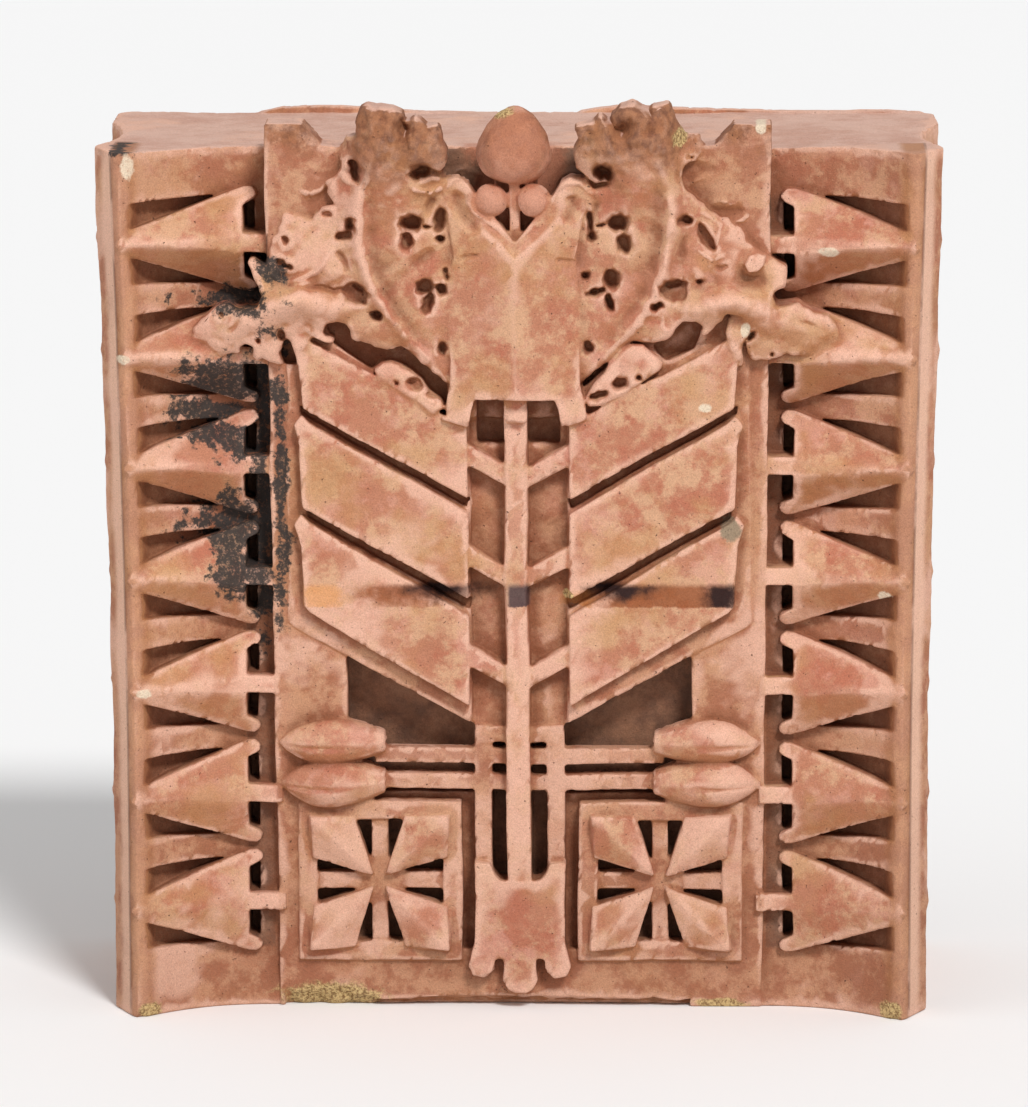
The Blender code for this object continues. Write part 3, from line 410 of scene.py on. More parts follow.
LEAF_OUTLINE = (
    (690, 190), (695, 110), (710, 75), (750, 52), (800, 65), (870, 68), (920, 95), (938, 135),
    (960, 135), (985, 110), (1010, 125), (1045, 155), (1090, 160), (1115, 185), (1125, 240),
    (1145, 300), (1140, 350), (1115, 385), (1120, 420), (1110, 450), (1180, 520), (1200, 800),
    (1200, 1250), (1150, 1445), (1130, 1440), (1060, 1385), (1000, 1335), (945, 1275), (905, 1253),
    (880, 1260), (860, 1275), (810, 1270), (775, 1272), (755, 1245), (715, 1233), (690, 1240),
    (670, 1225), (662, 1175), (640, 1148), (600, 1133), (555, 1143), (530, 1178), (545, 1200),
    (580, 1222), (588, 1243), (540, 1230), (500, 1212), (470, 1180), (400, 1190), (345, 1190),
    (335, 1235), (318, 1285), (315, 1320), (325, 1345), (300, 1352), (262, 1340), (250, 1325),
    (222, 1315), (205, 1330), (185, 1310), (190, 1280), (185, 1255), (150, 1245), (125, 1265),
    (120, 1290), (90, 1292), (60, 1305), (25, 1312), (-20, 1300), (-70, 1270), (-120, 1230),
    (-110, 1180), (-40, 1110), (20, 1060), (60, 1052), (110, 1075), (150, 1075), (215, 1045),
    (222, 1000), (205, 960), (180, 920), (165, 880), (148, 850), (155, 835), (180, 830),
    (215, 850), (245, 850), (262, 790), (270, 740), (300, 700), (330, 640), (345, 600), (400, 615),
    (450, 630), (480, 630), (510, 600), (525, 575), (560, 570), (590, 560), (560, 510), (545, 455),
    (570, 430), (600, 410), (625, 350), (600, 300), (640, 225), (690, 205))

# How high the leaves stand over the slab: x, z and the height in mm
LEAF_KNOTS = (
    (730, 100, 20), (720, 200, 22), (760, 80, 22), (830, 90, 25), (880, 110, 25), (930, 130, 22),
    (930, 170, 17), (990, 120, 22), (960, 200, 22), (1050, 170, 23), (1100, 200, 22),
    (1130, 260, 22), (1130, 330, 22), (1080, 370, 20), (800, 180, 27), (870, 200, 27.3),
    (1000, 260, 26.5), (1060, 290, 25), (780, 300, 25), (870, 320, 26), (960, 350, 23),
    (720, 300, 22), (700, 250, 19), (720, 420, 19), (800, 450, 22), (900, 430, 22.5),
    (980, 450, 18), (1060, 440, 15), (715, 550, 18), (780, 560, 18), (850, 560, 19.5),
    (930, 560, 18.5), (1000, 540, 15), (715, 700, 17.5), (740, 700, 16.5), (800, 700, 15.5),
    (860, 700, 17), (880, 760, 17), (735, 850, 17), (780, 850, 15), (850, 850, 14.5),
    (920, 850, 15.5), (980, 860, 14), (770, 960, 16.5), (830, 980, 13.5), (900, 980, 13.5),
    (960, 1000, 14), (820, 1040, 15), (880, 1080, 13), (940, 1090, 12.5), (1000, 1120, 12.5),
    (900, 1150, 13), (960, 1180, 12), (1040, 1220, 11), (1090, 1280, 10), (1120, 1370, 8.5),
    (980, 1270, 10), (1040, 1330, 9.5), (1060, 520, 13), (1050, 600, 13), (1010, 700, 13.5),
    (1060, 760, 13), (1120, 800, 11), (1050, 850, 13), (1140, 950, 11), (1080, 1130, 12),
    (1150, 600, 9), (1150, 700, 9), (640, 290, 6), (600, 300, 3), (640, 340, 10), (650, 440, 11),
    (610, 480, 8), (570, 470, 6), (640, 520, 12), (600, 560, 9), (560, 600, 7), (680, 560, 16),
    (690, 650, 17), (620, 640, 10), (590, 700, 8), (540, 660, 7), (500, 640, 5), (560, 780, 9),
    (600, 760, 10), (650, 800, 12), (690, 780, 15.5), (600, 850, 11), (660, 860, 12.5),
    (720, 900, 16), (640, 930, 11), (560, 900, 11), (580, 950, 9), (660, 960, 11),
    (420, 620, 4), (360, 600, 3), (400, 700, 6), (460, 720, 7), (520, 740, 8), (440, 800, 8),
    (500, 820, 9), (400, 860, 8), (300, 790, 5), (270, 800, 5), (280, 880, 6), (300, 925, 6),
    (360, 935, 7), (440, 900, 8), (500, 890, 8.5), (320, 680, 4), (480, 935, 8.5), (550, 960, 9),
    (610, 985, 10), (260, 940, 7), (680, 1120, 11), (600, 1050, 16), (520, 1010, 18),
    (430, 990, 19), (350, 1000, 19), (280, 1040, 18), (220, 1080, 15), (150, 1110, 11.5),
    (80, 1140, 8), (20, 1180, 5), (-40, 1200, 2), (-100, 1210, -2), (560, 1110, 15),
    (480, 1090, 17), (420, 1090, 15.5), (330, 1130, 13.5), (280, 1160, 13), (250, 1200, 11),
    (200, 1220, 9.5), (150, 1210, 8.5), (60, 1230, 5), (470, 1150, 12), (510, 1200, 11.5),
    (580, 1235, 10), (150, 850, 6), (190, 900, 7), (230, 960, 9), (230, 1000, 11), (170, 1090, 11),
    (60, 1090, 6), (230, 1290, 8), (180, 1260, 8), (290, 1330, 7), (310, 1240, 8.5), (60, 1290, 3),
    (-20, 1270, 0), (110, 1260, 5), (270, 1270, 9), (740, 1150, 12), (700, 1180, 11),
    (780, 1210, 11), (860, 1200, 11.5), (820, 1130, 12.5), (750, 1080, 13), (700, 1220, 9),
    (830, 1255, 9.5), (920, 1250, 9.5))

# The right leaf's own outline, on its own sheet
RIGHT_OUTLINE = (
    (20, 180), (35, 165), (80, 150), (120, 130), (145, 112), (185, 135), (192, 130), (200, 100),
    (240, 65), (290, 50), (330, 60), (375, 85), (400, 60), (470, 52), (490, 90), (510, 150),
    (545, 215), (590, 212), (625, 222), (640, 260), (640, 310), (600, 345), (545, 370), (530, 420),
    (545, 480), (590, 520), (640, 560), (670, 590), (760, 640), (830, 690), (850, 740), (900, 780),
    (945, 810), (1000, 840), (1035, 870), (1030, 940), (1010, 965), (980, 975), (975, 1010),
    (1000, 1060), (1060, 1050), (1100, 1045), (1160, 1085), (1250, 1120), (1303, 1180),
    (1303, 1230), (1274, 1290), (1200, 1312), (1130, 1315), (1050, 1300), (990, 1320), (955, 1325),
    (895, 1330), (850, 1300), (845, 1240), (880, 1200), (865, 1170), (830, 1110), (790, 1085),
    (755, 1090), (720, 1130), (660, 1190), (625, 1200), (637, 1160), (600, 1125), (540, 1130),
    (500, 1170), (487, 1210), (440, 1230), (385, 1240), (330, 1232), (290, 1228), (240, 1265),
    (200, 1310), (150, 1350), (90, 1400), (50, 1435), (-17, 1250), (-17, 800), (3, 520), (70, 470),
    (60, 410), (20, 370), (8, 310), (15, 270), (38, 230))

# Holes of the leaves: x, z, half width, half height, turn, and the level of the floor in mm
LEFT_HOLES = (
    (680, 378, 27, 55, 12, -4), (662, 655, 20, 34, 0, -4), (632, 712, 50, 28, 20, 3),
    (550, 608, 30, 26, 0, 4), (960, 648, 52, 40, 5, -6), (937, 735, 24, 42, -8, 6),
    (1098, 635, 32, 64, -10, 0), (1035, 665, 24, 7, 0, 6), (1100, 728, 24, 22, 0, 0),
    (1125, 886, 17, 17, 0, 0), (1132, 930, 8, 20, 0, 4), (1025, 965, 42, 42, 0, -2),
    (1105, 975, 32, 30, 0, -2), (1040, 1040, 28, 55, -15, -2), (347, 733, 28, 34, 0, -4),
    (322, 845, 40, 30, -30, -4), (368, 862, 18, 28, 20, -4), (685, 1000, 68, 46, -30, 6),
    (700, 975, 50, 22, -35, -4), (785, 1106, 32, 24, -30, -4), (325, 1200, 24, 34, 10, -6),
    (1105, 1265, 27, 36, 0, 2), (1018, 390, 44, 26, 15, 4), (150, 1262, 36, 24, 0, -6),
    (210, 1232, 14, 18, 0, 2), (0, 1252, 24, 20, 0, 0), (30, 1110, 24, 26, 0, 0))
RIGHT_HOLES = (
    (150, 392, 42, 30, -15, -2), (86, 640, 18, 62, 5, -4), (96, 712, 26, 26, 0, -4),
    (140, 655, 30, 7, 10, 4), (222, 640, 50, 38, 0, -6), (255, 742, 32, 44, 10, 5),
    (70, 898, 22, 24, 0, -4), (195, 920, 40, 50, 0, -4), (120, 982, 50, 20, 10, 0),
    (183, 1035, 22, 48, 5, 2), (80, 1262, 32, 38, 0, -2), (560, 638, 38, 26, 0, -2),
    (652, 722, 32, 84, 30, -2), (505, 980, 68, 50, 0, 6), (500, 950, 62, 26, 8, -4),
    (632, 932, 30, 16, 0, 2), (412, 1055, 30, 14, 30, 2), (1000, 1012, 26, 48, -10, -6),
    (975, 1298, 18, 18, 0, -4), (872, 1205, 15, 36, -25, -4), (838, 1262, 15, 40, 0, -4),
    (1165, 1250, 24, 10, 0, 2), (590, 335, 40, 13, -15, -2))

# Deep gaps between a leaf and the chevron under it
LEFT_GAPS = (
    ((535, 1150), (560, 1138), (640, 1150), (670, 1200), (690, 1240), (760, 1250), (900, 1255),
     (1000, 1340), (1130, 1450), (1130, 1600), (1094, 1592),
     (1010, 1540), (940, 1497), (870, 1454), (780, 1398), (690, 1334), (640, 1299), (575, 1252)),
    ((335, 1225), (385, 1240), (400, 1290), (398, 1350), (325, 1352), (315, 1290)))
RIGHT_GAPS = (
    ((385, 1260), (440, 1232), (485, 1212), (500, 1170), (540, 1130), (600, 1125), (637, 1160),
     (615, 1230), (592, 1275), (500, 1322), (430, 1348), (400, 1300)),
    ((240, 1275), (290, 1232), (335, 1235), (325, 1258), (260, 1290), (180, 1365), (100, 1440),
     (52, 1470), (50, 1400), (150, 1340)))

# Low lobes that lie on the chevrons: height in mm, rounding in mm, outline
LEFT_LOBES = (
    (10.6, 2.4, ((770, 1372), (805, 1342), (850, 1334), (900, 1350), (950, 1380), (1000, 1420),
                 (1040, 1478), (1100, 1520), (1118, 1560), (1060, 1590), (980, 1530), (880, 1465),
                 (800, 1430))),
    (10.4, 3.0, ((343, 1195), (350, 1160), (385, 1134), (430, 1126), (462, 1150), (482, 1200),
                 (440, 1262), (402, 1290), (370, 1225))))
RIGHT_LOBES = (
    (11.2, 3.2, ((190, 1330), (240, 1272), (290, 1247), (340, 1252), (385, 1290), (440, 1330),
                 (430, 1370), (330, 1450), (250, 1500), (150, 1550), (80, 1555), (58, 1520),
                 (110, 1440), (160, 1385))),
    (10.8, 2.6, ((762, 1110), (800, 1088), (840, 1112), (870, 1165), (862, 1200), (832, 1240),
                 (815, 1310), (770, 1270), (745, 1190))),
    (12.5, 0.6, ((835, 840), (855, 800), (900, 790), (935, 800), (930, 840), (900, 875),
                 (855, 882))),
    (8.0, 2.6, ((925, 850), (960, 838), (1036, 866), (1028, 960), (985, 968), (955, 940),
                (928, 900))))
LEFT_LOBE_HOLES = ((880, 1440, 17, 13, 0, 2), (972, 1440, 50, 34, -30, -6),
                   (1060, 1497, 38, 18, -10, -6))
RIGHT_LOBE_HOLES = ((235, 1442, 46, 34, 25, -6), (325, 1420, 19, 16, 0, -2),
                    (128, 1502, 56, 24, 18, -6))

# Ridges and furrows of the leaves: rise in mm, reach to the left and right in mm, points
LEFT_FOLDS = (
    (2.3, 5.0, 5.0, ((800, 270), (745, 380), (710, 470), (690, 600), (692, 700), (710, 800),
                     (745, 900), (790, 1000), (855, 1100), (935, 1200), (1085, 1370))),
    (-1.7, 8.0, 4.0, ((775, 400), (752, 560), (752, 720), (770, 850), (812, 990), (880, 1100),
                      (960, 1200), (1060, 1310))),
    (-3.4, 1.8, 1.8, ((905, 95), (925, 150), (940, 180), (930, 215))),
    (2.0, 1.8, 1.8, ((1000, 115), (975, 160), (950, 215))),
    (-9.0, 2.6, 2.6, ((985, 392), (1030, 378), (1075, 385), (1120, 400), (1150, 430))),
    (2.6, 2.0, 2.6, ((955, 455), (1005, 482), (1065, 492), (1110, 470), (1150, 430))),
    (-3.0, 4.0, 3.0, ((1075, 515), (1045, 565), (1035, 625))),
    (-2.0, 6.0, 6.0, ((1080, 790), (1000, 825), (940, 850))),
    (2.0, 2.6, 1.2, ((272, 850), (275, 900), (312, 932), (372, 932), (440, 912), (505, 888),
                     (540, 850), (565, 800), (610, 780))),
    (-2.6, 1.0, 3.2, ((400, 948), (520, 957), (590, 980), (650, 960))),
    (1.6, 1.4, 1.4, ((445, 1150), (475, 1190), (530, 1225), (590, 1247))),
    (-1.6, 2.4, 2.4, ((760, 120), (740, 170), (735, 230))),
    (1.2, 1.6, 1.6, ((800, 100), (840, 140), (900, 170))),
    (-1.5, 1.2, 1.2, ((1108, 200), (1112, 225), (1114, 250))),
    (-1.4, 1.0, 1.0, ((1070, 245), (1078, 250), (1085, 252))),
    (1.4, 1.8, 1.2, ((600, 380), (640, 440), (690, 450))),
    (-2.2, 3.0, 3.0, ((600, 780), (640, 840), (650, 900))),
    (1.5, 1.5, 1.5, ((480, 650), (520, 600), (560, 575), (600, 580))),
    (-1.6, 2.5, 2.5, ((130, 1110), (100, 1160), (60, 1190))))
RIGHT_FOLDS = (
    (2.5, 6.0, 5.6, ((385, 270), (440, 380), (482, 470), (500, 600), (490, 700), (468, 800),
                     (440, 900), (400, 1000), (330, 1100), (250, 1200), (100, 1370))),
    (-2.0, 5.0, 9.0, ((400, 400), (432, 560), (430, 720), (410, 850), (370, 990), (300, 1100),
                      (220, 1200), (120, 1310))),
    (-3.4, 1.8, 1.8, ((192, 125), (212, 165), (260, 192))),
    (-3.0, 1.6, 1.6, ((378, 75), (395, 110), (400, 150))),
    (2.2, 2.0, 2.0, ((145, 115), (170, 170), (182, 230), (200, 300))),
    (-8.0, 2.6, 2.6, ((5, 350), (60, 425), (110, 462), (200, 436))),
    (-2.6, 3.0, 3.0, ((120, 540), (105, 600), (100, 640))),
    (1.6, 1.5, 1.5, ((600, 770), (640, 800), (690, 830), (740, 800))),
    (-2.0, 2.0, 2.0, ((690, 858), (720, 872), (762, 850))),
    (1.8, 1.4, 1.6, ((822, 870), (860, 898), (908, 892))),
    (-2.0, 1.5, 1.5, ((615, 1228), (680, 1196), (742, 1158), (772, 1104))),
    (1.6, 1.8, 1.4, ((530, 380), (525, 440), (545, 485), (600, 520))),
    (-2.2, 3.0, 3.0, ((560, 700), (540, 760), (545, 820))),
    (1.5, 2.0, 1.2, ((600, 590), (660, 620), (720, 660), (700, 740))),
    (-1.6, 2.0, 2.0, ((1050, 1110), (1120, 1140), (1200, 1170))),
    (1.4, 1.4, 1.4, ((395, 1060), (440, 1100), (440, 1150), (480, 1200))))

# The same for the faces around the leaves: on the left sheet, and on the right one
LEFT_MARKS = (
    (1.8, 2.4, 1.1, ((340, 598), (400, 620), (490, 645))),
    (1.8, 1.2, 2.0, ((422, 493), (468, 512), (520, 497), (550, 452))),
    (-1.8, 5.0, 5.0, ((430, 565), (500, 545), (560, 505), (610, 470))),
    (1.0, 1.3, 1.3, ((455, 1140), (500, 1205), (560, 1240), (640, 1292), (770, 1375))),
    (1.7, 1.7, 1.7, ((1113, 533), (1133, 481), (1172, 429), (1217, 413), (1276, 448), (1256, 494),
                     (1243, 540), (1263, 585), (1308, 617), (1419, 695))),
    (-3.0, 6.0, 6.0, ((1185, 480), (1188, 552), (1224, 620), (1300, 690))),
    (1.9, 1.9, 1.9, ((1646, 540), (1653, 481), (1711, 442), (1776, 442), (1851, 513),
                     (1822, 565), (1802, 617))),
    (-3.0, 6.0, 6.0, ((1740, 500), (1744, 559), (1700, 640))),
    (-1.8, 0.6, 2.6, ((1196, 812), (1240, 800), (1295, 793))),
    (-1.8, 0.6, 2.2, ((1659, 809), (1710, 815), (1763, 829))))
RIGHT_MARKS = (
    (1.6, 1.2, 1.2, ((540, 310), (590, 330), (645, 357))),
    (1.3, 1.5, 1.5, ((535, 440), (560, 477), (600, 450), (650, 430))),
    (1.8, 2.0, 0.9, ((680, 560), (730, 550), (775, 569))),
    (1.6, 1.6, 1.4, ((700, 655), (780, 652), (832, 640), (862, 606))),
    (1.7, 1.5, 1.5, ((832, 690), (850, 742), (905, 778))),
    (-2.0, 4.0, 4.0, ((660, 600), (740, 600), (850, 590))),
    (-1.2, 3.5, 3.5, ((590, 390), (650, 390), (700, 400))))

LEAVES = {-1: (LEAF_OUTLINE, LEFT_HOLES, LEFT_GAPS, LEFT_LOBES, LEFT_FOLDS, LEFT_LOBE_HOLES),
          1: (RIGHT_OUTLINE, RIGHT_HOLES, RIGHT_GAPS, RIGHT_LOBES, RIGHT_FOLDS, RIGHT_LOBE_HOLES)}

# The boxes in which each form is carved, as their low and high corners
LEAF_BOXES = {-1: ((-0.178, -0.034, 0.330), (-0.022, 0.040, 0.512)),
              1: ((0.019, -0.034, 0.330), (0.175, 0.040, 0.512))}
MARKS_BOX = ((-0.138, -0.034, 0.330), (0.138, 0.040, 0.512))
CHEVRON_BOX = ((-0.122, -0.004, 0.215), (0.122, 0.030, 0.345))
RECESS_BOX = ((-0.028, -0.004, 0.160), (0.028, 0.045, 0.330))
FORK_BOX = ((-0.030, 0.000, 0.325), (0.030, 0.030, 0.362))
PANEL_BOX = ((-0.122, 0.005, 0.022), (0.122, 0.050, 0.122))
ARRIS_BOX = ((-0.132, 0.010, -0.004), (0.132, 0.046, 0.016))
EGG_BOX = ((-0.046, -0.040, 0.4500), (0.043, 0.0335, 0.512))
TIE_BOX = ((-0.010, -0.030, 0.452), (0.006, 0.000, 0.468))

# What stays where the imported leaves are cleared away, drawn for the right side, and how proud it is
BORDER_OUTER = 0.1255
BORDER_TOP = 0.372
BORDER_PROUD = 0.0016
CHEVRON_PROUD = 0.0085
TOP_CHEVRON = ((0.020, 0.3240), (0.0272, 0.3277), (0.1130, 0.3745), (0.1175, 0.3790),
               (0.1215, 0.3735), (0.1215, 0.3000), (0.020, 0.3000))
PLATE_PROUD = 0.030
PLATE_MARGIN = 0.0006
PLATE = ((0.0, 0.4283), (0.0205, 0.4540), (0.0245, 0.4610), (0.0300, 0.4640), (0.0370, 0.4622),
         (0.0420, 0.4570), (0.0405, 0.4510), (0.0365, 0.4440), (0.0330, 0.4200), (0.0352, 0.3860),
         (0.0352, 0.3500), (0.0392, 0.3310), (0.0245, 0.3268), (0.0, 0.3420))
CREST_LINE = ((0.0, 0.445), (0.044, 0.447), (0.0765, 0.477), (0.1045, 0.479), (0.1145, 0.489),
              (0.1155, 0.491), (0.14, 0.492))
CLEARED_BACK = 0.0335

# The fold of the plate: its rise, its reach, and the notch and foot where it ends
PLATE_FOLD = 0.0048
PLATE_FOLD_REACH = 0.034
PLATE_HALF = 0.036
NOTCH_LOW = 0.425
NOTCH_SLOPE = 0.9
FOOT_LOW = 0.3275
FOOT_SLOPE = 0.06

# Leaves: gaps, holes and their lips, and the knobs above the bed with their shorter, rounded backs
GAP_DEPTH = 0.0090
HOLE_LIP = 0.0009
HOLE_LIP_REACH = 0.0014
HOLE_GROWTH = 0.0010
HOLE_SLANT = 0.24
HOLE_LEAST_FLOOR = 0.002
LEAF_ROUNDING = 0.0026
KNOB_LOW = 0.472
KNOB_RUN = 0.010
KNOB_ROUNDING = 0.0044
KNOB_SHORTER = 0.0120
KNOB_BACK = 0.0140
KNOB_BACK_REACH = 0.011


def spots(places, side):
    """Places drawn on one side's sheet."""
    origin = SHEET_X if side < 0 else RIGHT_SHEET_X
    return [(origin + SQUARE * p[0], SHEET_Z - SQUARE * p[1]) for p in places]


def folds(strokes, side, x, z):
    """The height that one side's ridges and furrows add."""
    total = np.zeros(np.broadcast(x, z).shape, np.float32)
    for rise, left, right, places in strokes:
        total += rise / 1000 * stroke(x, z, spots(places, side), left / 1000, right / 1000)
    return total


def hole_edges(holes, side, x, z):
    """The distance to each hole's edge, and the level of its floor."""
    for a, b, wide, tall, turn, floor in holes:
        centre = spots([(a, b)], side)[0]
        yield ellipse(x, z, centre, wide * SQUARE, tall * SQUARE, turn), floor / 1000


def clear_leaves(field, side):
    """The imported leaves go, down to the slab behind them and clear of what stands beside them."""
    part = field.part(*LEAF_BOXES[side])
    out, z = abs(part.x), part.z
    on_plate = polygon(abs(part.x - CREST_SHIFT), z, PLATE) - PLATE_MARGIN
    level = np.where((out < BORDER_OUTER) & (z < BORDER_TOP), BORDER_PROUD, 0.0)
    level = np.where(polygon(out, z, TOP_CHEVRON) < 0, CHEVRON_PROUD, level)
    level = np.where(on_plate < 0, PLATE_PROUD, level)
    cleared = np.maximum(part.cells, deep(slab_face(z) - level) - part.y)
    cleared = np.where(deep(out < slab_half(z) + 0.0004), cleared, part.cells)
    top = np.interp(out, *zip(*CREST_LINE)).astype(np.float32)
    outside = deep(on_plate > 0) & (part.y < CLEARED_BACK)
    part.keep(np.where(outside, np.maximum(cleared, deep(z - top)), cleared))


def marks(x, z):
    """The ridges and nicks of the faces, and a sharper fold for the plate between the leaves."""
    off = abs(x - CREST_SHIFT)
    inside = np.clip((PLATE_HALF - off) / 0.003, 0, 1) \
        * np.clip((NOTCH_LOW - z + NOTCH_SLOPE * off) / 0.006, 0, 1)
    fold = PLATE_FOLD * np.clip(1 - off / PLATE_FOLD_REACH, 0, 1) \
        * np.where(z > FOOT_LOW + FOOT_SLOPE * off, inside, 0)
    return folds(LEFT_MARKS, -1, x, z) + folds(RIGHT_MARKS, 1, x, z) + fold


def carve_leaves(field, side):
    """One leaf, with the gaps under it, the lobes on the chevron beside it, and its holes."""
    outline, holes, gaps, lobes, strokes, lobe_holes = LEAVES[side]
    part = field.part(*LEAF_BOXES[side])
    x, z = part.x, part.z
    face = slab_face(z)
    edge = polygon(x, z, spots(outline, side)) + ripple((x, z), 0.00040, 0.0065, 11 + side)
    for gap in gaps:
        mouth = np.maximum(polygon(x, z, spots(gap, side)), -edge - 0.0005)
        part.sink(mouth, face + GAP_DEPTH)

    knots = [(a if side < 0 else SHEET_MIRROR - a, b, h) for a, b, h in LEAF_KNOTS]
    knots = [place + (knot[2] / 1000,) for place, knot in zip(spots(knots, side), knots)]
    height = smooth_surface(x, z, knots) + folds(strokes, side, x, z)
    height += ripple((x, z), 0.00025, 0.009, 21 + side)
    above = np.clip((z - KNOB_LOW) / KNOB_RUN, 0, 1)
    height += above * (ripple((x, z), 0.0006, 0.004, 25) + ripple((x, z), 0.0012, 0.011, 27 + side))
    for hole, floor in hole_edges(holes, side, x, z):
        height += HOLE_LIP * np.exp(-(np.maximum(hole, 0) / HOLE_LIP_REACH) ** 2)
    inward = 1 - np.clip(-edge / KNOB_BACK_REACH, 0, 1)
    round_back = 1 - np.sqrt(np.clip(1 - inward ** 2, 0, 1))
    back = RELIEF_BACK - above * (KNOB_SHORTER + KNOB_BACK * round_back)
    part.relief(height, edge, LEAF_ROUNDING + KNOB_ROUNDING * above, 0.0012, back)

    for tall, rounding, places in lobes:
        edge = polygon(x, z, spots(places, side))
        part.relief(np.full(edge.shape, tall / 1000, np.float32), edge, rounding / 1000, 0.0034)
    uneven = ripple((x, z), 0.0005, 0.0055, 31 + side)
    slant = HOLE_SLANT * np.clip(part.y - deep(face - 0.014), -0.008, 0.020)
    for hole, floor in hole_edges(holes + lobe_holes, side, x, z):
        mouth = deep(hole + uneven - HOLE_GROWTH) + slant
        part.cut(np.maximum(mouth, part.y - deep(face - max(floor, HOLE_LEAST_FLOOR))), 0.0012)


# The almond outline of a bud, as shares of its length, and its relief
BUD_MARGIN = 0.020
BUD_BLUNT = 0.05
BUD_END = 0.93
BUD_POWER = 0.82
BUD_LOWEST = 0.0014
BUD_CREASE = 0.0012
BUD_LOBES = 0.09
BUD_LOBE_CREASE = 0.0016
BUD_LOBE_NARROW = 11


def carve_buds(field):
    """Two almond buds at the outer ends of the bars on each side."""
    for side in (-1, 1):
        for centre, tall in ((UPPER_BUD, UPPER_BUD_HALF), (LOWER_BUD, LOWER_BUD_HALF)):
            reach = sorted((side * (BUD_INNER - 0.004), side * (BUD_OUTER + 0.003)))
            part = field.part((reach[0], -0.004, centre - BUD_MARGIN),
                              (reach[1], 0.040, centre + BUD_MARGIN))
            share = (BUD_OUTER - side * part.x) / (BUD_OUTER - BUD_INNER)
            swell = np.sin(math.pi * BUD_END * np.clip(share, 0, 1) ** BUD_POWER)
            swell = BUD_BLUNT + (1 - BUD_BLUNT) * swell
            off = (part.z - centre) / (tall * swell)
            height = BUD_LOWEST + BUD_PROUD * swell * np.sqrt(np.clip(1 - off ** 2, 0, 1))
            height = height - BUD_CREASE * np.exp(-((off + 0.15) / 0.10) ** 2) \
                * np.clip(2 - 2.2 * share, 0, 1)
            lobes = BUD_LOBES * np.abs(np.sin(2.6 * off + 0.5))
            height = height - BUD_LOBE_CREASE * (1 - BUD_LOBE_NARROW * lobes).clip(0, 1) \
                * np.clip(share * 4 - 3, 0, 1)
            ends = np.maximum(-share, share - BUD_END - lobes) * (BUD_OUTER - BUD_INNER)
            part.relief(height, np.maximum((np.abs(off) - 1) * tall * swell, ends), 0.0012, 0.0008)


# The grooves between the chevrons and the fork of the stem, drawn for the right side
GROOVES = (((0.0265, 0.2862), (0.1188, 0.3376), (0.1180, 0.3326), (0.0283, 0.2808)),
           ((0.0255, 0.2297), (0.1142, 0.2803), (0.1142, 0.2751), (0.0270, 0.2238)))
GROOVE_DEPTH = 0.0050
FORK = ((0.005, 0.3290), (0.012, 0.3290), (0.027, 0.3450), (0.027, 0.3560), (0.021, 0.3560),
        (0.005, 0.3390))
FORK_DEPTH = 0.0100
RECESS_HALF = 0.0262
RECESS_DEEPER = 0.0042

# A petal runs along its panel's diagonal, between these distances from the panel's middle lines
PETAL_INNER = 0.0052
PETAL_OUTER = 0.0386
PETAL_SPREAD = 0.72
PETAL_RUN = 0.020
PETAL_FOLD = 0.0034


def carve_centre(field):
    """The grooves between the chevrons, the recesses beside the stem and the folds of the petals."""
    part = field.part(*CHEVRON_BOX)
    for groove in GROOVES:
        part.sink(polygon(abs(part.x), part.z, groove), slab_face(part.z) + GROOVE_DEPTH)

    part = field.part(*RECESS_BOX)
    face = slab_face(part.z)
    front = part.y[0, :, 0][np.argmax(part.cells < 0, axis=1)]
    recess = (front > face - 0.0032) & (front < face + 0.0040) & (abs(part.x) < RECESS_HALF)
    part.press(np.where(recess, -RECESS_DEEPER, 0.0))

    part = field.part(*FORK_BOX)
    part.rise(polygon(abs(part.x), part.z, FORK), slab_face(part.z) + FORK_DEPTH, 0.0015)
    part = field.part(*PANEL_BOX)
    part.press(petal_folds(part.x, part.z))


def petal_folds(x, z):
    """Each petal of the two panels is folded along its diagonal."""
    u = np.abs(np.abs(x) - PANEL_MIDDLE)
    v = np.abs(z - PANEL_CENTRE)
    middle = (u + v) / 2
    fold = np.clip(1 - np.abs(u - v) / (PETAL_SPREAD * middle + 0.001), 0, 1)
    inside = (np.minimum(u, v) > PETAL_INNER) & (np.maximum(u, v) < PETAL_OUTER)
    return PETAL_FOLD * np.where(inside, fold * np.clip(middle / PETAL_RUN, 0, 1), 0)


# The broken lower arris: where it starts and ends, and how high and how far back it is broken
BREAK_LEFT = -0.1290
BREAK_MIDDLE = -0.0790
BREAK_RIGHT = 0.0940
BREAK_HEIGHT = 0.0042
BREAK_DEPTH = 0.0385
SPALL_HEIGHT = 0.0085
SPALL_DEPTH = 0.0315

# The small chips: their centres and half sizes
CHIP_MARGIN = 0.003
CHIPS = (((-0.2140, -0.0005, 0.4705), (0.0085, 0.0022, 0.0090)),
         ((-0.2020, 0.0000, 0.0015), (0.0060, 0.0030, 0.0032)),
         ((0.2030, 0.0000, 0.0030), (0.0050, 0.0030, 0.0050)),
         ((-0.0130, -0.0150, 0.4965), (0.0105, 0.0040, 0.0030)),
         ((0.0270, 0.0000, 0.2330), (0.0028, 0.0030, 0.0028)),
         ((-0.2126, -0.0030, 0.3634), (0.0030, 0.0022, 0.0022)),
         ((-0.2030, -0.0020, 0.1800), (0.0028, 0.0020, 0.0020)),
         ((0.0870, -0.0220, 0.4860), (0.0050, 0.0050, 0.0050)))


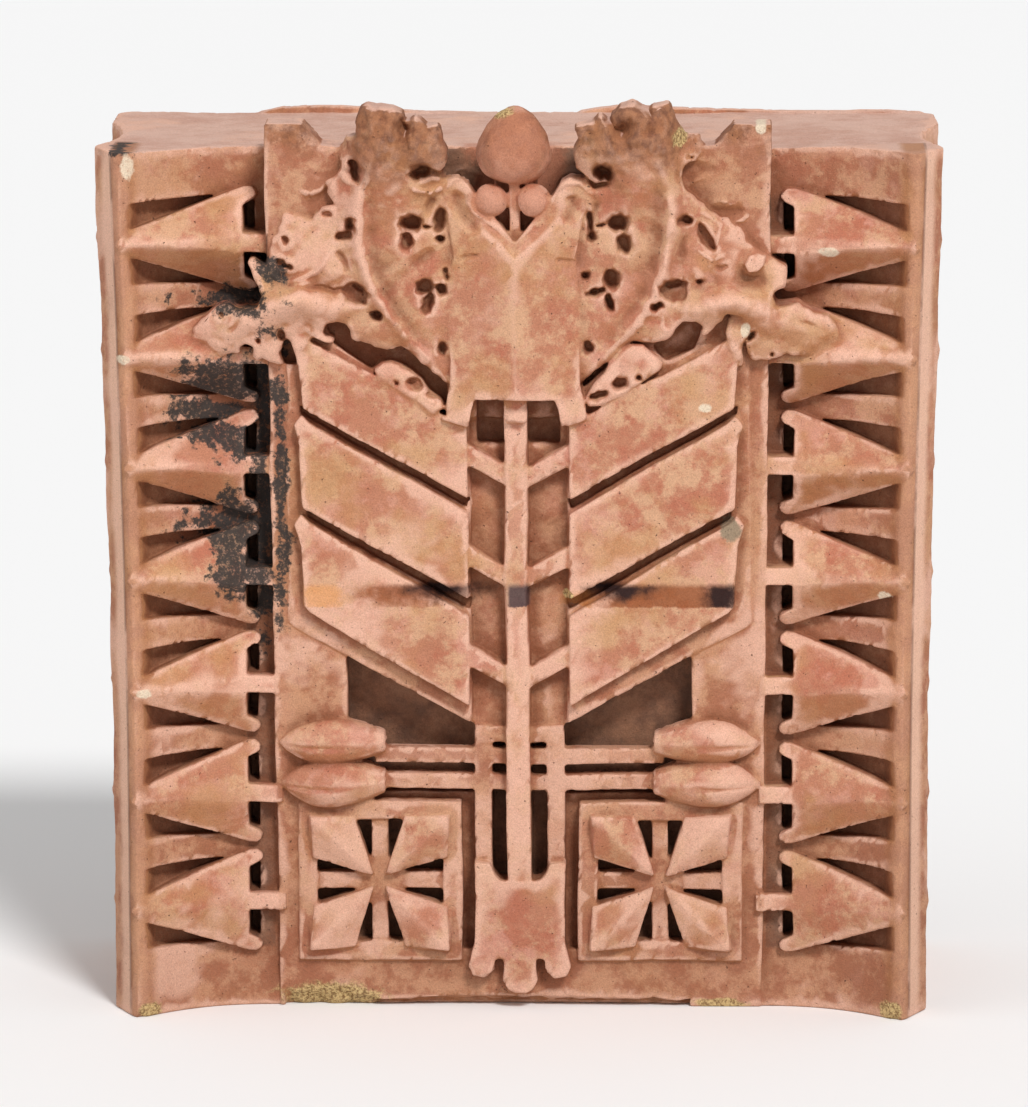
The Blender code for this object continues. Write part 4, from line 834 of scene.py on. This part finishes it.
def carve_breaks(field):
    """The broken lower arris, the chipped corners and the small chips of the photo."""
    part = field.part(*ARRIS_BOX)
    x, y, z = part.places
    uneven = ripple(part.places, 0.0009, 0.016, 5) + ripple(part.places, 0.0004, 0.005, 6)
    wide = np.maximum(BREAK_MIDDLE - x, x - BREAK_RIGHT)
    part.cut(np.maximum(wide, np.maximum(z - BREAK_HEIGHT, y - BREAK_DEPTH)) + uneven)
    left = np.maximum(BREAK_LEFT - x, x - BREAK_MIDDLE)
    part.cut(np.maximum(left, (y - SPALL_DEPTH) * 0.8 + (z - SPALL_HEIGHT) * 0.6) + uneven)
    for centre, radii in CHIPS:
        part = field.part([c - r - CHIP_MARGIN for c, r in zip(centre, radii)],
                          [c + r + CHIP_MARGIN for c, r in zip(centre, radii)])
        off = np.sqrt(sum(((a - c) / r) ** 2 for a, c, r in zip(part.places, centre, radii)))
        part.cut((off - 1) * min(radii) + ripple(part.places, 0.0005, 0.004, 8))


def ball(field, centre, radii, point=0.0, below=None):
    """A ball with these radii, drawn in towards its top, and with its own radius downwards."""
    reach = max(radii) * 1.3 + 0.004
    part = field.part([c - reach for c in centre], [c + reach for c in centre])
    u, v, w = (a - c for a, c in zip(part.places, centre))
    taper = 1 - point * np.clip(w / radii[2], 0, 1) ** 1.5
    down = np.where(w > 0, radii[2], below or radii[2])
    off = np.sqrt((u / (radii[0] * taper)) ** 2 + (v / (radii[1] * taper)) ** 2 + (w / down) ** 2)
    part.add((off - 1) * min(radii) + ripple(part.places, 0.00035, 0.012, 3), 0.0010)


# The egg and its two berries, and the hole in the tie under them
EGG_HEIGHT = 0.4750
EGG_PROUD = 0.0025
EGG_RADII = (0.0199, 0.0199, 0.0262)
EGG_POINT = 0.14
EGG_BELOW = 0.0160
EGG_CLEAR_LOW = 0.4645
EGG_CLEAR_BACK = 0.0300
BERRY_HEIGHT = 0.4508
BERRY_SHIFT = -0.0012
BERRY_APART = 0.0112
BERRY_PROUD = 0.0080
BERRY_RADIUS = 0.0088
TIE_HOLE = (-0.0028, 0.4600)
TIE_HOLE_WIDE = 0.0034
TIE_HOLE_TALL = 0.0030
TIE_HOLE_PROUD = 0.0165


def carve_egg(field):
    """The place of the egg is cleared above the bed, and then egg, berries and tie are shaped."""
    face = slab_face(HEIGHT)
    part = field.part(*EGG_BOX)
    above = np.maximum(deep(EGG_CLEAR_LOW - part.z), part.y - EGG_CLEAR_BACK)
    part.cells[...] = np.where(above < 0, np.maximum(part.cells, -above), part.cells)
    ball(field, (CREST_SHIFT, face - EGG_PROUD, EGG_HEIGHT), EGG_RADII, EGG_POINT, EGG_BELOW)
    for side in (-1, 1):
        ball(field, (CREST_SHIFT + BERRY_SHIFT + side * BERRY_APART, face - BERRY_PROUD, BERRY_HEIGHT),
             [BERRY_RADIUS] * 3)
    part = field.part(*TIE_BOX)
    hole = ellipse(part.x, part.z, TIE_HOLE, TIE_HOLE_WIDE, TIE_HOLE_TALL)
    hole = hole + ripple((part.x, part.z), 0.0006, 0.004, 9)
    part.cut(np.maximum(deep(hole), part.y - face + TIE_HOLE_PROUD))


def carve(field):
    for side in (-1, 1):
        carve_cove(field, side)
        clear_leaves(field, side)
    part = field.part(*MARKS_BOX)
    part.press(marks(part.x, part.z))
    carve_egg(field)
    for side in (-1, 1):
        carve_leaves(field, side)
    carve_buds(field)
    carve_centre(field)
    carve_breaks(field)
    blur(field.cells, 0.17)


def place_object(name, data):
    """A new object in the scene."""
    made = bpy.data.objects.new(name, data)
    bpy.context.scene.collection.objects.link(made)
    return made


def make_piece():
    field = Field(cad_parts["pier_capital"])
    carve(field)
    points, triangles, quads = field.mesh()
    points = wear(points.astype(np.float32), field)
    points[:, 1] -= DEPTH / 2
    faces = quads[:, ::-1]
    mesh = bpy.data.meshes.new("cast_capital")
    mesh.vertices.add(len(points))
    mesh.vertices.foreach_set("co", points.astype(np.float32).ravel())
    mesh.loops.add(faces.size)
    mesh.loops.foreach_set("vertex_index", faces.astype(np.int32).ravel())
    mesh.polygons.add(len(faces))
    mesh.polygons.foreach_set("loop_start", np.arange(0, faces.size, 4, dtype=np.int32))
    mesh.update(calc_edges=True)
    mesh.validate()
    piece = place_object("cast_capital", mesh)
    thin = piece.modifiers.new("thin", "DECIMATE")
    thin.ratio = FACES / (2 * len(faces))
    bpy.context.view_layer.update()
    graph = bpy.context.evaluated_depsgraph_get()
    small = bpy.data.meshes.new_from_object(piece.evaluated_get(graph))
    piece.modifiers.clear()
    piece.data = small
    bpy.data.meshes.remove(mesh)
    small.name = "cast_capital"
    small.polygons.foreach_set("use_smooth", [True] * len(small.polygons))
    note_surface(small, field)
    weigh = piece.modifiers.new("weigh", "WEIGHTED_NORMAL")
    weigh.mode = "FACE_AREA_WITH_ANGLE"
    return piece


# How the pressed clay is off true: height and length of each wave, and its first seed
WARPS = ((0.00040, 0.080, 40), (0.00010, 0.020, 50), (0.00005, 0.006, 60))

# The foot stays flat, an arris is nicked this deep at most, and rounds of blurring show where an
# arris or a hollow is
FOOT = 0.008
BITE = 0.0012
ARRIS_ROUNDS = 3
HOLLOW_ROUNDS = 19
NOTED_BACK = 0.0575


def wear(points, field):
    """Points of the surface, moved as a hand-pressed and fired piece is off true, and with
    the arrises nicked."""
    places = (points[:, 0], points[:, 1], points[:, 2])
    off = np.stack([sum(ripple(places, rise, size, seed + i) for rise, size, seed in WARPS)
                    for i in range(3)], axis=1)
    still = np.clip(points[:, 2:3] / FOOT, 0, 1)
    cells = coarse_cells(field, ARRIS_ROUNDS)
    place = (points / VOXEL - field.low) / 2
    sharp = np.clip(sample(cells, place) * 1000, 0, 0.8)
    slope = np.stack([sample(cells, place + step) - sample(cells, place - step)
                      for step in np.eye(3) * 0.7], axis=1)
    slope /= np.linalg.norm(slope, axis=1, keepdims=True) + 1e-9
    nick = ripple(places, 1.0, 0.011, 71) + ripple(places, 0.8, 0.004, 72) - 0.55
    bite = np.clip(nick, 0, 1) * sharp * BITE
    return points + off * still - slope * (bite * still[:, 0])[:, None]


def note_surface(mesh, field):
    """Notes at each point how sharp an arris it is, how hollow its place is, and how far it
    lies behind the face around it, in mm."""
    points = points_of(mesh)
    place = (points / VOXEL - field.low) / 2
    out, y, z = np.abs(points[:, 0]), points[:, 1], points[:, 2]
    front = np.where(out < slab_half(z), slab_face(z), cove_depth(out, z))
    behind = np.where(out < half_width(z) - CORNER_RUN, y - front, 0)
    behind = np.where((y > NOTED_BACK) | (z > HEIGHT - 0.001) & (behind > 0), 0, behind) * 1000
    for name, values in (("arris", sample(coarse_cells(field, ARRIS_ROUNDS), place) * 1000),
                         ("hollow", sample(coarse_cells(field, HOLLOW_ROUNDS), place) * 1000),
                         ("behind", behind.astype(np.float32))):
        mesh.attributes.new(name, "FLOAT", "POINT").data.foreach_set("value", values)


def coarse_cells(field, rounds):
    """Every second cell of a field, blurred that many times."""
    cells = field.cells[::2, ::2, ::2].copy()
    for i in range(rounds):
        blur(cells, 0.25)
    return cells


def sample(cells, place):
    """The values of a block of cells at fractional places in it."""
    place = np.clip(place, 0, np.array(cells.shape) - 1.001)
    base = place.astype(int)
    share = (place - base).astype(np.float32)
    total = np.zeros(len(place), np.float32)
    for a in (0, 1):
        for b in (0, 1):
            for c in (0, 1):
                weight = np.abs(1 - a - share[:, 0]) * np.abs(1 - b - share[:, 1]) \
                    * np.abs(1 - c - share[:, 2])
                total += weight * cells[base[:, 0] + a, base[:, 1] + b, base[:, 2] + c]
    return total


# The camera that was fitted to the photo: pixels, metres and degrees
PHOTO_HEIGHT = 1107
FOCAL = 7550.0
SENSOR = 36.0
CAMERA_DISTANCE = 4.01873
CAMERA_HEIGHT = 0.94579
CAMERA_ASIDE = -0.00224
CAMERA_TURN = 1.524
CAMERA_TILT = 9.712
CAMERA_ROLL = -0.135

# Lights: name, turn, rise and softness in degrees, and power, and then the sky and the floor
LIGHTS = (("key", 22, 44, 12, 2.30), ("fill", -62, 20, 45, 0.38))
SKY = 0.50
FLOOR_HALF = 15


def make_camera():
    turn, tilt, roll = (math.radians(a) for a in (CAMERA_TURN, CAMERA_TILT, CAMERA_ROLL))
    place = Vector((CAMERA_DISTANCE * math.sin(turn) + CAMERA_ASIDE * math.cos(turn),
                    -CAMERA_DISTANCE * math.cos(turn) + CAMERA_ASIDE * math.sin(turn) - DEPTH / 2,
                    CAMERA_HEIGHT))
    ahead = Vector((-math.sin(turn) * math.cos(tilt), math.cos(turn) * math.cos(tilt),
                    -math.sin(tilt)))
    right = Vector((math.cos(turn), math.sin(turn), 0))
    upward = right.cross(ahead)
    right, upward = (right * math.cos(roll) + upward * math.sin(roll),
                     upward * math.cos(roll) - right * math.sin(roll))
    data = bpy.data.cameras.new("camera")
    data.sensor_width = SENSOR
    data.lens = FOCAL / PHOTO_HEIGHT * SENSOR
    data.clip_end = 60
    camera = place_object("camera", data)
    rows = [(right[i], upward[i], -ahead[i], place[i]) for i in range(3)]
    camera.matrix_world = Matrix(rows + [(0, 0, 0, 1)])
    bpy.context.scene.camera = camera


def make_studio():
    world = bpy.data.worlds.new("studio")
    world.use_nodes = True
    sky = world.node_tree.nodes["Background"].inputs
    sky["Color"].default_value = (1.0, 1.0, 1.0, 1)
    sky["Strength"].default_value = SKY
    bpy.context.scene.world = world
    for name, turn, rise, soft, power in LIGHTS:
        data = bpy.data.lights.new(name, "SUN")
        data.energy = power
        data.angle = math.radians(soft)
        a, e = math.radians(turn), math.radians(rise)
        source = Vector((math.sin(a) * math.cos(e), -math.cos(a) * math.cos(e), math.sin(e)))
        place_object(name, data).rotation_euler = source.to_track_quat("Z", "Y").to_euler()

    mesh = bpy.data.meshes.new("floor")
    corners = [(FLOOR_HALF * a, FLOOR_HALF * b, 0) for a, b in ((-1, -1), (1, -1), (1, 1), (-1, 1))]
    mesh.from_pydata(corners, [], [(0, 1, 2, 3)])
    material = bpy.data.materials.new("floor")
    material.use_nodes = True
    shader = material.node_tree.nodes["Principled BSDF"]
    shader.inputs["Base Color"].default_value = (0.90, 0.90, 0.90, 1)
    shader.inputs["Roughness"].default_value = 0.9
    mesh.materials.append(material)
    floor = place_object("floor", mesh)


def tone(red, green, blue):
    """A colour given as it looks on a screen, from 0 to 255."""
    return tuple(((v / 255 + 0.055) / 1.055) ** 2.4 for v in (red, green, blue)) + (1.0,)


class Paint:
    """Builds the nodes of one material, coat by coat. What several coats need is kept here."""

    def __init__(self, name):
        self.material = bpy.data.materials.new(name)
        self.material.use_nodes = True
        self.nodes = self.material.node_tree.nodes
        self.links = self.material.node_tree.links
        self.shader = self.nodes["Principled BSDF"].inputs
        self.place = self.nodes.new("ShaderNodeTexCoord").outputs["Object"]
        self.x, self.y, self.z = self.split(self.place)
        normal = self.nodes.new("ShaderNodeNewGeometry").outputs["Normal"]
        self.faces_y, self.faces_up = self.split(normal)[1:]
        self.across = self.math("ABSOLUTE", self.x)
        self.behind, self.arris, self.hollow = map(self.noted, ("behind", "arris", "hollow"))
        self.middle = self.noise(46, 6, 4.1, 0.68)
        self.small = self.noise(160, 5, 7.7, 0.68)

    def put(self, socket, value):
        if isinstance(value, bpy.types.NodeSocket):
            self.links.new(value, socket)
        else:
            socket.default_value = value

    def fill(self, node, values):
        for socket, value in zip(node.inputs, values):
            self.put(socket, value)
        return node

    def math(self, kind, *values, clamp=False):
        node = self.nodes.new("ShaderNodeMath")
        node.operation = kind
        node.use_clamp = clamp
        return self.fill(node, values).outputs[0]

    def plus(self, first, second):
        return self.math("ADD", first, second)

    def less(self, first, second):
        return self.math("SUBTRACT", first, second)

    def times(self, first, *others):
        for value in others:
            first = self.math("MULTIPLY", first, value)
        return first

    def vector(self, kind, *values):
        node = self.nodes.new("ShaderNodeVectorMath")
        node.operation = kind
        return self.fill(node, values)

    def split(self, vector):
        node = self.nodes.new("ShaderNodeSeparateXYZ")
        return list(self.fill(node, [vector]).outputs)

    def noted(self, name):
        node = self.nodes.new("ShaderNodeAttribute")
        node.attribute_name = name
        return node.outputs["Fac"]

    def noise(self, scale, detail, shift, rough):
        node = self.nodes.new("ShaderNodeTexNoise")
        node.noise_dimensions = "4D"
        for name, value in (("W", shift), ("Scale", scale), ("Detail", detail),
                            ("Roughness", rough), ("Vector", self.place)):
            self.put(node.inputs[name], value)
        return node.outputs["Fac"]

    def spread(self, value, low, high, to_low=0.0, to_high=1.0):
        node = self.nodes.new("ShaderNodeMapRange")
        node.interpolation_type = "SMOOTHSTEP"
        return self.fill(node, (value, low, high, to_low, to_high)).outputs[0]

    def mix(self, share, first, second):
        node = self.nodes.new("ShaderNodeMix")
        node.data_type = "RGBA"
        self.put(node.inputs[0], share)
        self.put(node.inputs[6], first)
        self.put(node.inputs[7], second)
        return node.outputs[2]

    def blend(self, value, low, high, first, second):
        """From one tone at the low value to another at the high one."""
        return self.mix(self.spread(value, low, high), tone(*first), tone(*second))

    def coat(self, shade, *shares):
        """Lays a shade over the colour so far, where the product of the shares is high."""
        self.colour = self.mix(self.times(*shares), self.colour, shade)

    def blob(self, centre, size, ragged, soft):
        """A patch round a place, with its edge broken up by a ragged value."""
        off = self.vector("SUBTRACT", self.place, centre).outputs[0]
        off = self.vector("DIVIDE", off, size).outputs[0]
        off = self.plus(self.vector("LENGTH", off).outputs["Value"], ragged)
        return self.spread(off, 1.0 - soft, 1.0 + soft, 1.0, 0.0)


def paint_slip_and_shade(paint):
    """Cream tan slip with salmon blotches, pink where it is worn thin, and ochre painted shade on the
    faces that look downwards.
    The ground behind the carving is browner, and browner still downwards as painted shade where the
    light falls off, and the bed is a greyish pink."""
    small = paint.small
    mottle = paint.plus(paint.times(paint.noise(14, 4, 1.3, 0.6), 0.30), paint.times(paint.middle, 0.70))
    mottle = paint.plus(mottle, paint.spread(small, 0.3, 0.7, -0.030, 0.030))
    paint.colour = paint.blend(mottle, 0.445, 0.545, (208, 160, 126), (186, 124, 96))
    red = paint.plus(paint.noise(34, 6, 9.4, 0.68), paint.spread(small, 0.3, 0.7, -0.035, 0.035))
    paint.coat(tone(180, 106, 82), paint.spread(red, 0.49, 0.61, 0, 0.75))
    paint.coat(tone(216, 158, 138), paint.spread(paint.noise(36, 5, 12.9, 0.66), 0.52, 0.62, 0, 0.55))
    paint.coat(tone(190, 140, 92), paint.spread(paint.noise(18, 4, 5.9, 0.6), 0.50, 0.64, 0, 0.60))

    # The ground behind the carving is browner as its own colour; the stronger brown downwards is painted
    # shade where the light falls off
    paint.coat(paint.blend(mottle, 0.44, 0.55, (190, 136, 104), (160, 102, 74)),
               paint.spread(paint.behind, -6.0, -0.5, 0.0, 0.70),
               paint.spread(paint.z, 0.34, 0.06, 0.8, 1.15))
    # Painted shade: ochre on faces that look downwards, away from the light from above
    paint.coat(tone(174, 113, 71), paint.spread(paint.faces_up, -0.04, -0.50, 0, 0.65))
    paint.fore = paint.spread(paint.faces_y, 0.8, 0.5)
    paint.coat(paint.blend(paint.middle, 0.35, 0.65, (190, 134, 104), (176, 118, 90)),
               paint.less(1.0, paint.fore), 0.65)
    bed = paint.times(paint.spread(paint.faces_up, 0.75, 0.95), paint.spread(paint.z, 0.462, 0.470))
    paint.coat(paint.blend(mottle, 0.38, 0.64, (216, 178, 162), (202, 158, 140)), bed, 0.9)
    paint.off_bed = paint.less(1.0, bed)


def paint_strips_and_shade(paint):
    """The corner strips are paler, with a dark line of painted shade in the crease where they meet the
    coves, an ochre band beside it that is partly stain and partly painted shade, and a dark bottom in
    the gutter beside the slab that is partly grime and partly painted shade."""
    climb = paint.math("DIVIDE", paint.less(paint.z, FLARE_START), HEIGHT - FLARE_START)
    flare = paint.math("POWER", paint.math("MAXIMUM", climb, 0.0), FLARE_POWER)
    half = paint.plus(paint.times(flare, (WIDTH_TOP - WIDTH_BASE) / 2), WIDTH_BASE / 2)
    inset = paint.less(half, paint.across)
    paint.front = paint.spread(paint.y, -0.045, -0.055)
    paint.coat(tone(236, 190, 164), paint.spread(inset, CREASE_INSET + 0.0004, CREASE_INSET - 0.0004),
               paint.spread(paint.y, -0.080, -0.088), 0.80)
    # Painted shade: a dark line in the crease between the corner strip and the cove
    off = paint.math("ABSOLUTE", paint.less(inset, CREASE_INSET))
    paint.coat(tone(96, 60, 42), paint.spread(off, 0.0012, 0.0003), paint.front, 0.55)
    # The ochre band at the end of the cove: partly a stain and partly painted shade of that hollow
    paint.strip = paint.times(paint.spread(inset, CREASE_INSET, CREASE_INSET + 0.0010),
                              paint.spread(inset, 0.0260, 0.0200), paint.front,
                              paint.spread(paint.behind, -3.0, -0.8))
    paint.coat(paint.blend(paint.middle, 0.40, 0.60, (178, 122, 80), (160, 104, 70)), paint.strip, 0.80)
    # The gutter beside the slab: partly dark grime and partly painted shade cast by the proud slab
    paint.coat(paint.blend(paint.middle, 0.40, 0.60, (128, 92, 72), (98, 76, 64)),
               paint.spread(paint.across, 0.1340, 0.1352), paint.spread(paint.across, 0.1500, 0.1488),
               paint.front, paint.spread(paint.behind, -3.0, -1.0),
               paint.spread(paint.z, 0.0315, 0.0345), paint.spread(paint.z, 0.4500, 0.4460), 0.75)


def paint_wear_and_painted_light(paint):
    """Pale arrises, worn and also a painted highlight, a painted highlight on proud faces, dirt and
    painted shade in hollows, dirt and painted shade in the depths, and patina towards the top.
    """
    # Pale arrises: worn edges, and also a painted highlight on ridges
    paint.coat(tone(228, 180, 156), paint.spread(paint.arris, 0.10, 0.45),
               paint.spread(paint.middle, 0.38, 0.55, 0.2, 1), paint.fore,
               paint.math("SUBTRACT", 1.0, paint.strip, clamp=True), 0.70)
    # Painted highlight: paler colour on proud, rounded faces, strongest on the leaves
    paint.coat(tone(234, 184, 160), paint.spread(paint.hollow, 0.20, 1.00),
               paint.spread(paint.behind, -6.0, -11.0, 0.22, 0.55), paint.fore)
    # Hollows: dirt, and also painted shade where less light reaches
    paint.coat(tone(132, 78, 50), paint.spread(paint.hollow, 0.05, -1.0), paint.off_bed,
               paint.spread(paint.small, 0.25, 0.6, 0.55, 1.0), paint.fore, 0.75)
    # Deep recesses, slots and pits: dark dirt and painted shade
    paint.coat(paint.blend(paint.middle, 0.38, 0.62, (142, 100, 76), (96, 72, 58)),
               paint.spread(paint.behind, 7.0, 18.0, 0.0, 0.80))
    high = paint.plus(paint.z, paint.spread(paint.middle, 0.35, 0.65, -0.010, 0.010))
    knob = paint.times(paint.spread(paint.behind, -9.0, -15.0),
                       paint.spread(high, 0.456, 0.482, 0, 0.75))
    patina = paint.math("MAXIMUM", paint.spread(high, 0.474, 0.494, 0, 0.90), knob)
    paint.coat(paint.blend(paint.small, 0.35, 0.6, (112, 66, 42), (160, 106, 72)), patina, paint.off_bed)


# Stains on the front: x, z, half width and half height in mm, in the piece's own frame
SOOT = ((-158, 347, 20, 13), (-160, 332, 23, 7), (-156, 394, 20, 6), (-154, 318, 20, 12),
        (-153, 271, 21, 15), (-149, 246, 15, 10), (-129, 297, 4.5, 60), (-140, 300, 6, 70),
        (-133, 414, 8, 6), (-215, 475, 5.5, 3.5))
CREAM = ((-209.5, 467, 3.4, 6.2), (-212.6, 363.4, 4, 2.5), (-203, 180, 3.8, 2.5), (167, 421, 5, 2.6),
         (198.5, 234, 3.6, 2.6), (101, 337, 3.6, 2.6), (122.5, 380.5, 2.4, 4), (130.4, 489, 3, 3))
OCHRE = ((-104, 5, 27, 8.5), (-202, 3, 6, 4.5), (203, 4, 6, 6), (27, 233, 3, 3), (87, 485, 4, 5),
         (110, 2, 15, 3), (-13, 498.5, 11, 3.5))
RUDDY = ((-13.9, 451, 10, 10), (8.5, 451, 10, 10), (-1.5, 480, 23, 27))
GOLD = ((-108, 233, 11, 10), (33, 230, 8, 6))
BURNT = ((-56, 236, 26, 8), (78, 230, 40, 13))
PURPLE = ((-40, 237.5, 22, 7.5), (110.5, 232, 9, 13), (56, 237.5, 20, 6.5))
BLUE = ((0, 232, 5.8, 20),)
PLUG = ((114.7, 270, 5.6, 5.8),)

# A patch reaches through the whole depth, and its edge is crisp or blurred
THROUGH = 10.0
CRISP = 0.22
BLURRED = 0.50


def paint_stains(paint):
    """The egg and berries are ruddier. A kiln stain crosses the chevrons in gold, brown, purple
    and blue, and then come ochre breaks, soot, cream chips and a plug of mortar."""
    middle, small, z = paint.middle, paint.small, paint.z
    little = paint.spread(small, 0.25, 0.75, -0.30, 0.30)
    faint = paint.spread(middle, 0.35, 0.65, -0.35, 0.35)
    ragged = paint.plus(paint.spread(small, 0.25, 0.75, -0.5, 0.5),
                        paint.spread(middle, 0.35, 0.65, -0.7, 0.7))
    fleck = paint.spread(paint.noise(420, 3, 8.8, 0.7), 0.30, 0.50, 0.45, 1.0)
    mortar = paint.mix(fleck, tone(84, 68, 54), tone(154, 132, 108))
    crumbs = paint.blend(paint.noise(620, 2, 4.4, 0.7), 0.38, 0.60, (136, 106, 66), (214, 184, 128))
    wobble = paint.plus(z, paint.spread(small, 0.3, 0.7, -0.0006, 0.0006))
    flash = paint.times(paint.spread(wobble, 0.2262, 0.2274), paint.spread(wobble, 0.2410, 0.2370),
                        paint.spread(paint.across, 0.1176, 0.1166))
    for places, shade, strength, edge, soft, masks in (
            (RUDDY, tone(184, 116, 88), 0.60, faint, CRISP, ()),
            (GOLD, tone(216, 146, 80), 0.60, faint, BLURRED, (flash,)),
            (BURNT, tone(146, 78, 40), 0.85, faint, BLURRED, (flash,)),
            (PURPLE, tone(48, 25, 21), 1.00, faint, BLURRED, (flash,)),
            (BLUE, tone(66, 52, 58), 0.90, 0.0, CRISP, (flash,)),
            (OCHRE, crumbs, 0.95, little, CRISP, ()),
            (SOOT, tone(46, 44, 43), 0.95, ragged, CRISP, (fleck,)),
            (CREAM, tone(228, 208, 182), 0.95, little, CRISP, (fleck,)),
            (PLUG, mortar, 1.0, little, CRISP, ())):
        blobs = [paint.blob((a / 1000, 0.0, b / 1000), (wide / 1000, THROUGH, tall / 1000), edge, soft)
                 for a, b, wide, tall in places]
        total = blobs[0]
        for spot in blobs[1:]:
            total = paint.math("MAXIMUM", total, spot)
        paint.coat(shade, total, strength, paint.front, *masks)


def paint_grain_and_low_shade(paint):
    """Pores, the fine grain of the clay, a painted shade that darkens the colour towards the bottom, its
    roughness and its bumps.
    """
    grain = paint.noise(1300, 3, 2.2, 0.65)
    pores = paint.noise(560, 2, 6.1, 0.5)
    paint.coat(tone(84, 52, 38), paint.spread(pores, 0.31, 0.24, 0.0, 0.75))
    # The grain, times a painted shade that darkens the colour towards the bottom where the light falls
    # off
    fine = paint.times(paint.spread(grain, 0.25, 0.75, 0.78, 1.14),
                       paint.spread(paint.z, 0.0, 0.24, 0.88, 1.0))
    shaded = paint.vector("SCALE", paint.colour)
    paint.put(shaded.inputs["Scale"], fine)
    paint.put(paint.shader["Base Color"], shaded.outputs[0])
    paint.put(paint.shader["Roughness"], paint.spread(paint.small, 0.3, 0.7, 0.70, 0.92))
    paint.put(paint.shader["Specular IOR Level"], 0.3)

    bump = paint.nodes.new("ShaderNodeBump")
    rough = paint.plus(paint.times(grain, 0.30), paint.noise(260, 5, 3.3, 0.65))
    rough = paint.plus(rough, paint.spread(pores, 0.33, 0.24, 0.0, -0.7))
    for name, value in (("Strength", 0.9), ("Distance", 0.0009), ("Height", rough)):
        paint.put(bump.inputs[name], value)
    paint.put(paint.shader["Normal"], bump.outputs[0])


def make_clay():
    paint = Paint("terracotta")
    paint_slip_and_shade(paint)
    paint_strips_and_shade(paint)
    paint_wear_and_painted_light(paint)
    paint_stains(paint)
    paint_grain_and_low_shade(paint)
    return paint.material


bpy.context.scene.view_settings.view_transform = "Standard"
make_camera()
make_studio()
capital = make_piece()
capital.data.materials.clear()
capital.data.materials.append(make_clay())
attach(capital, "root")
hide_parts("pier_capital")
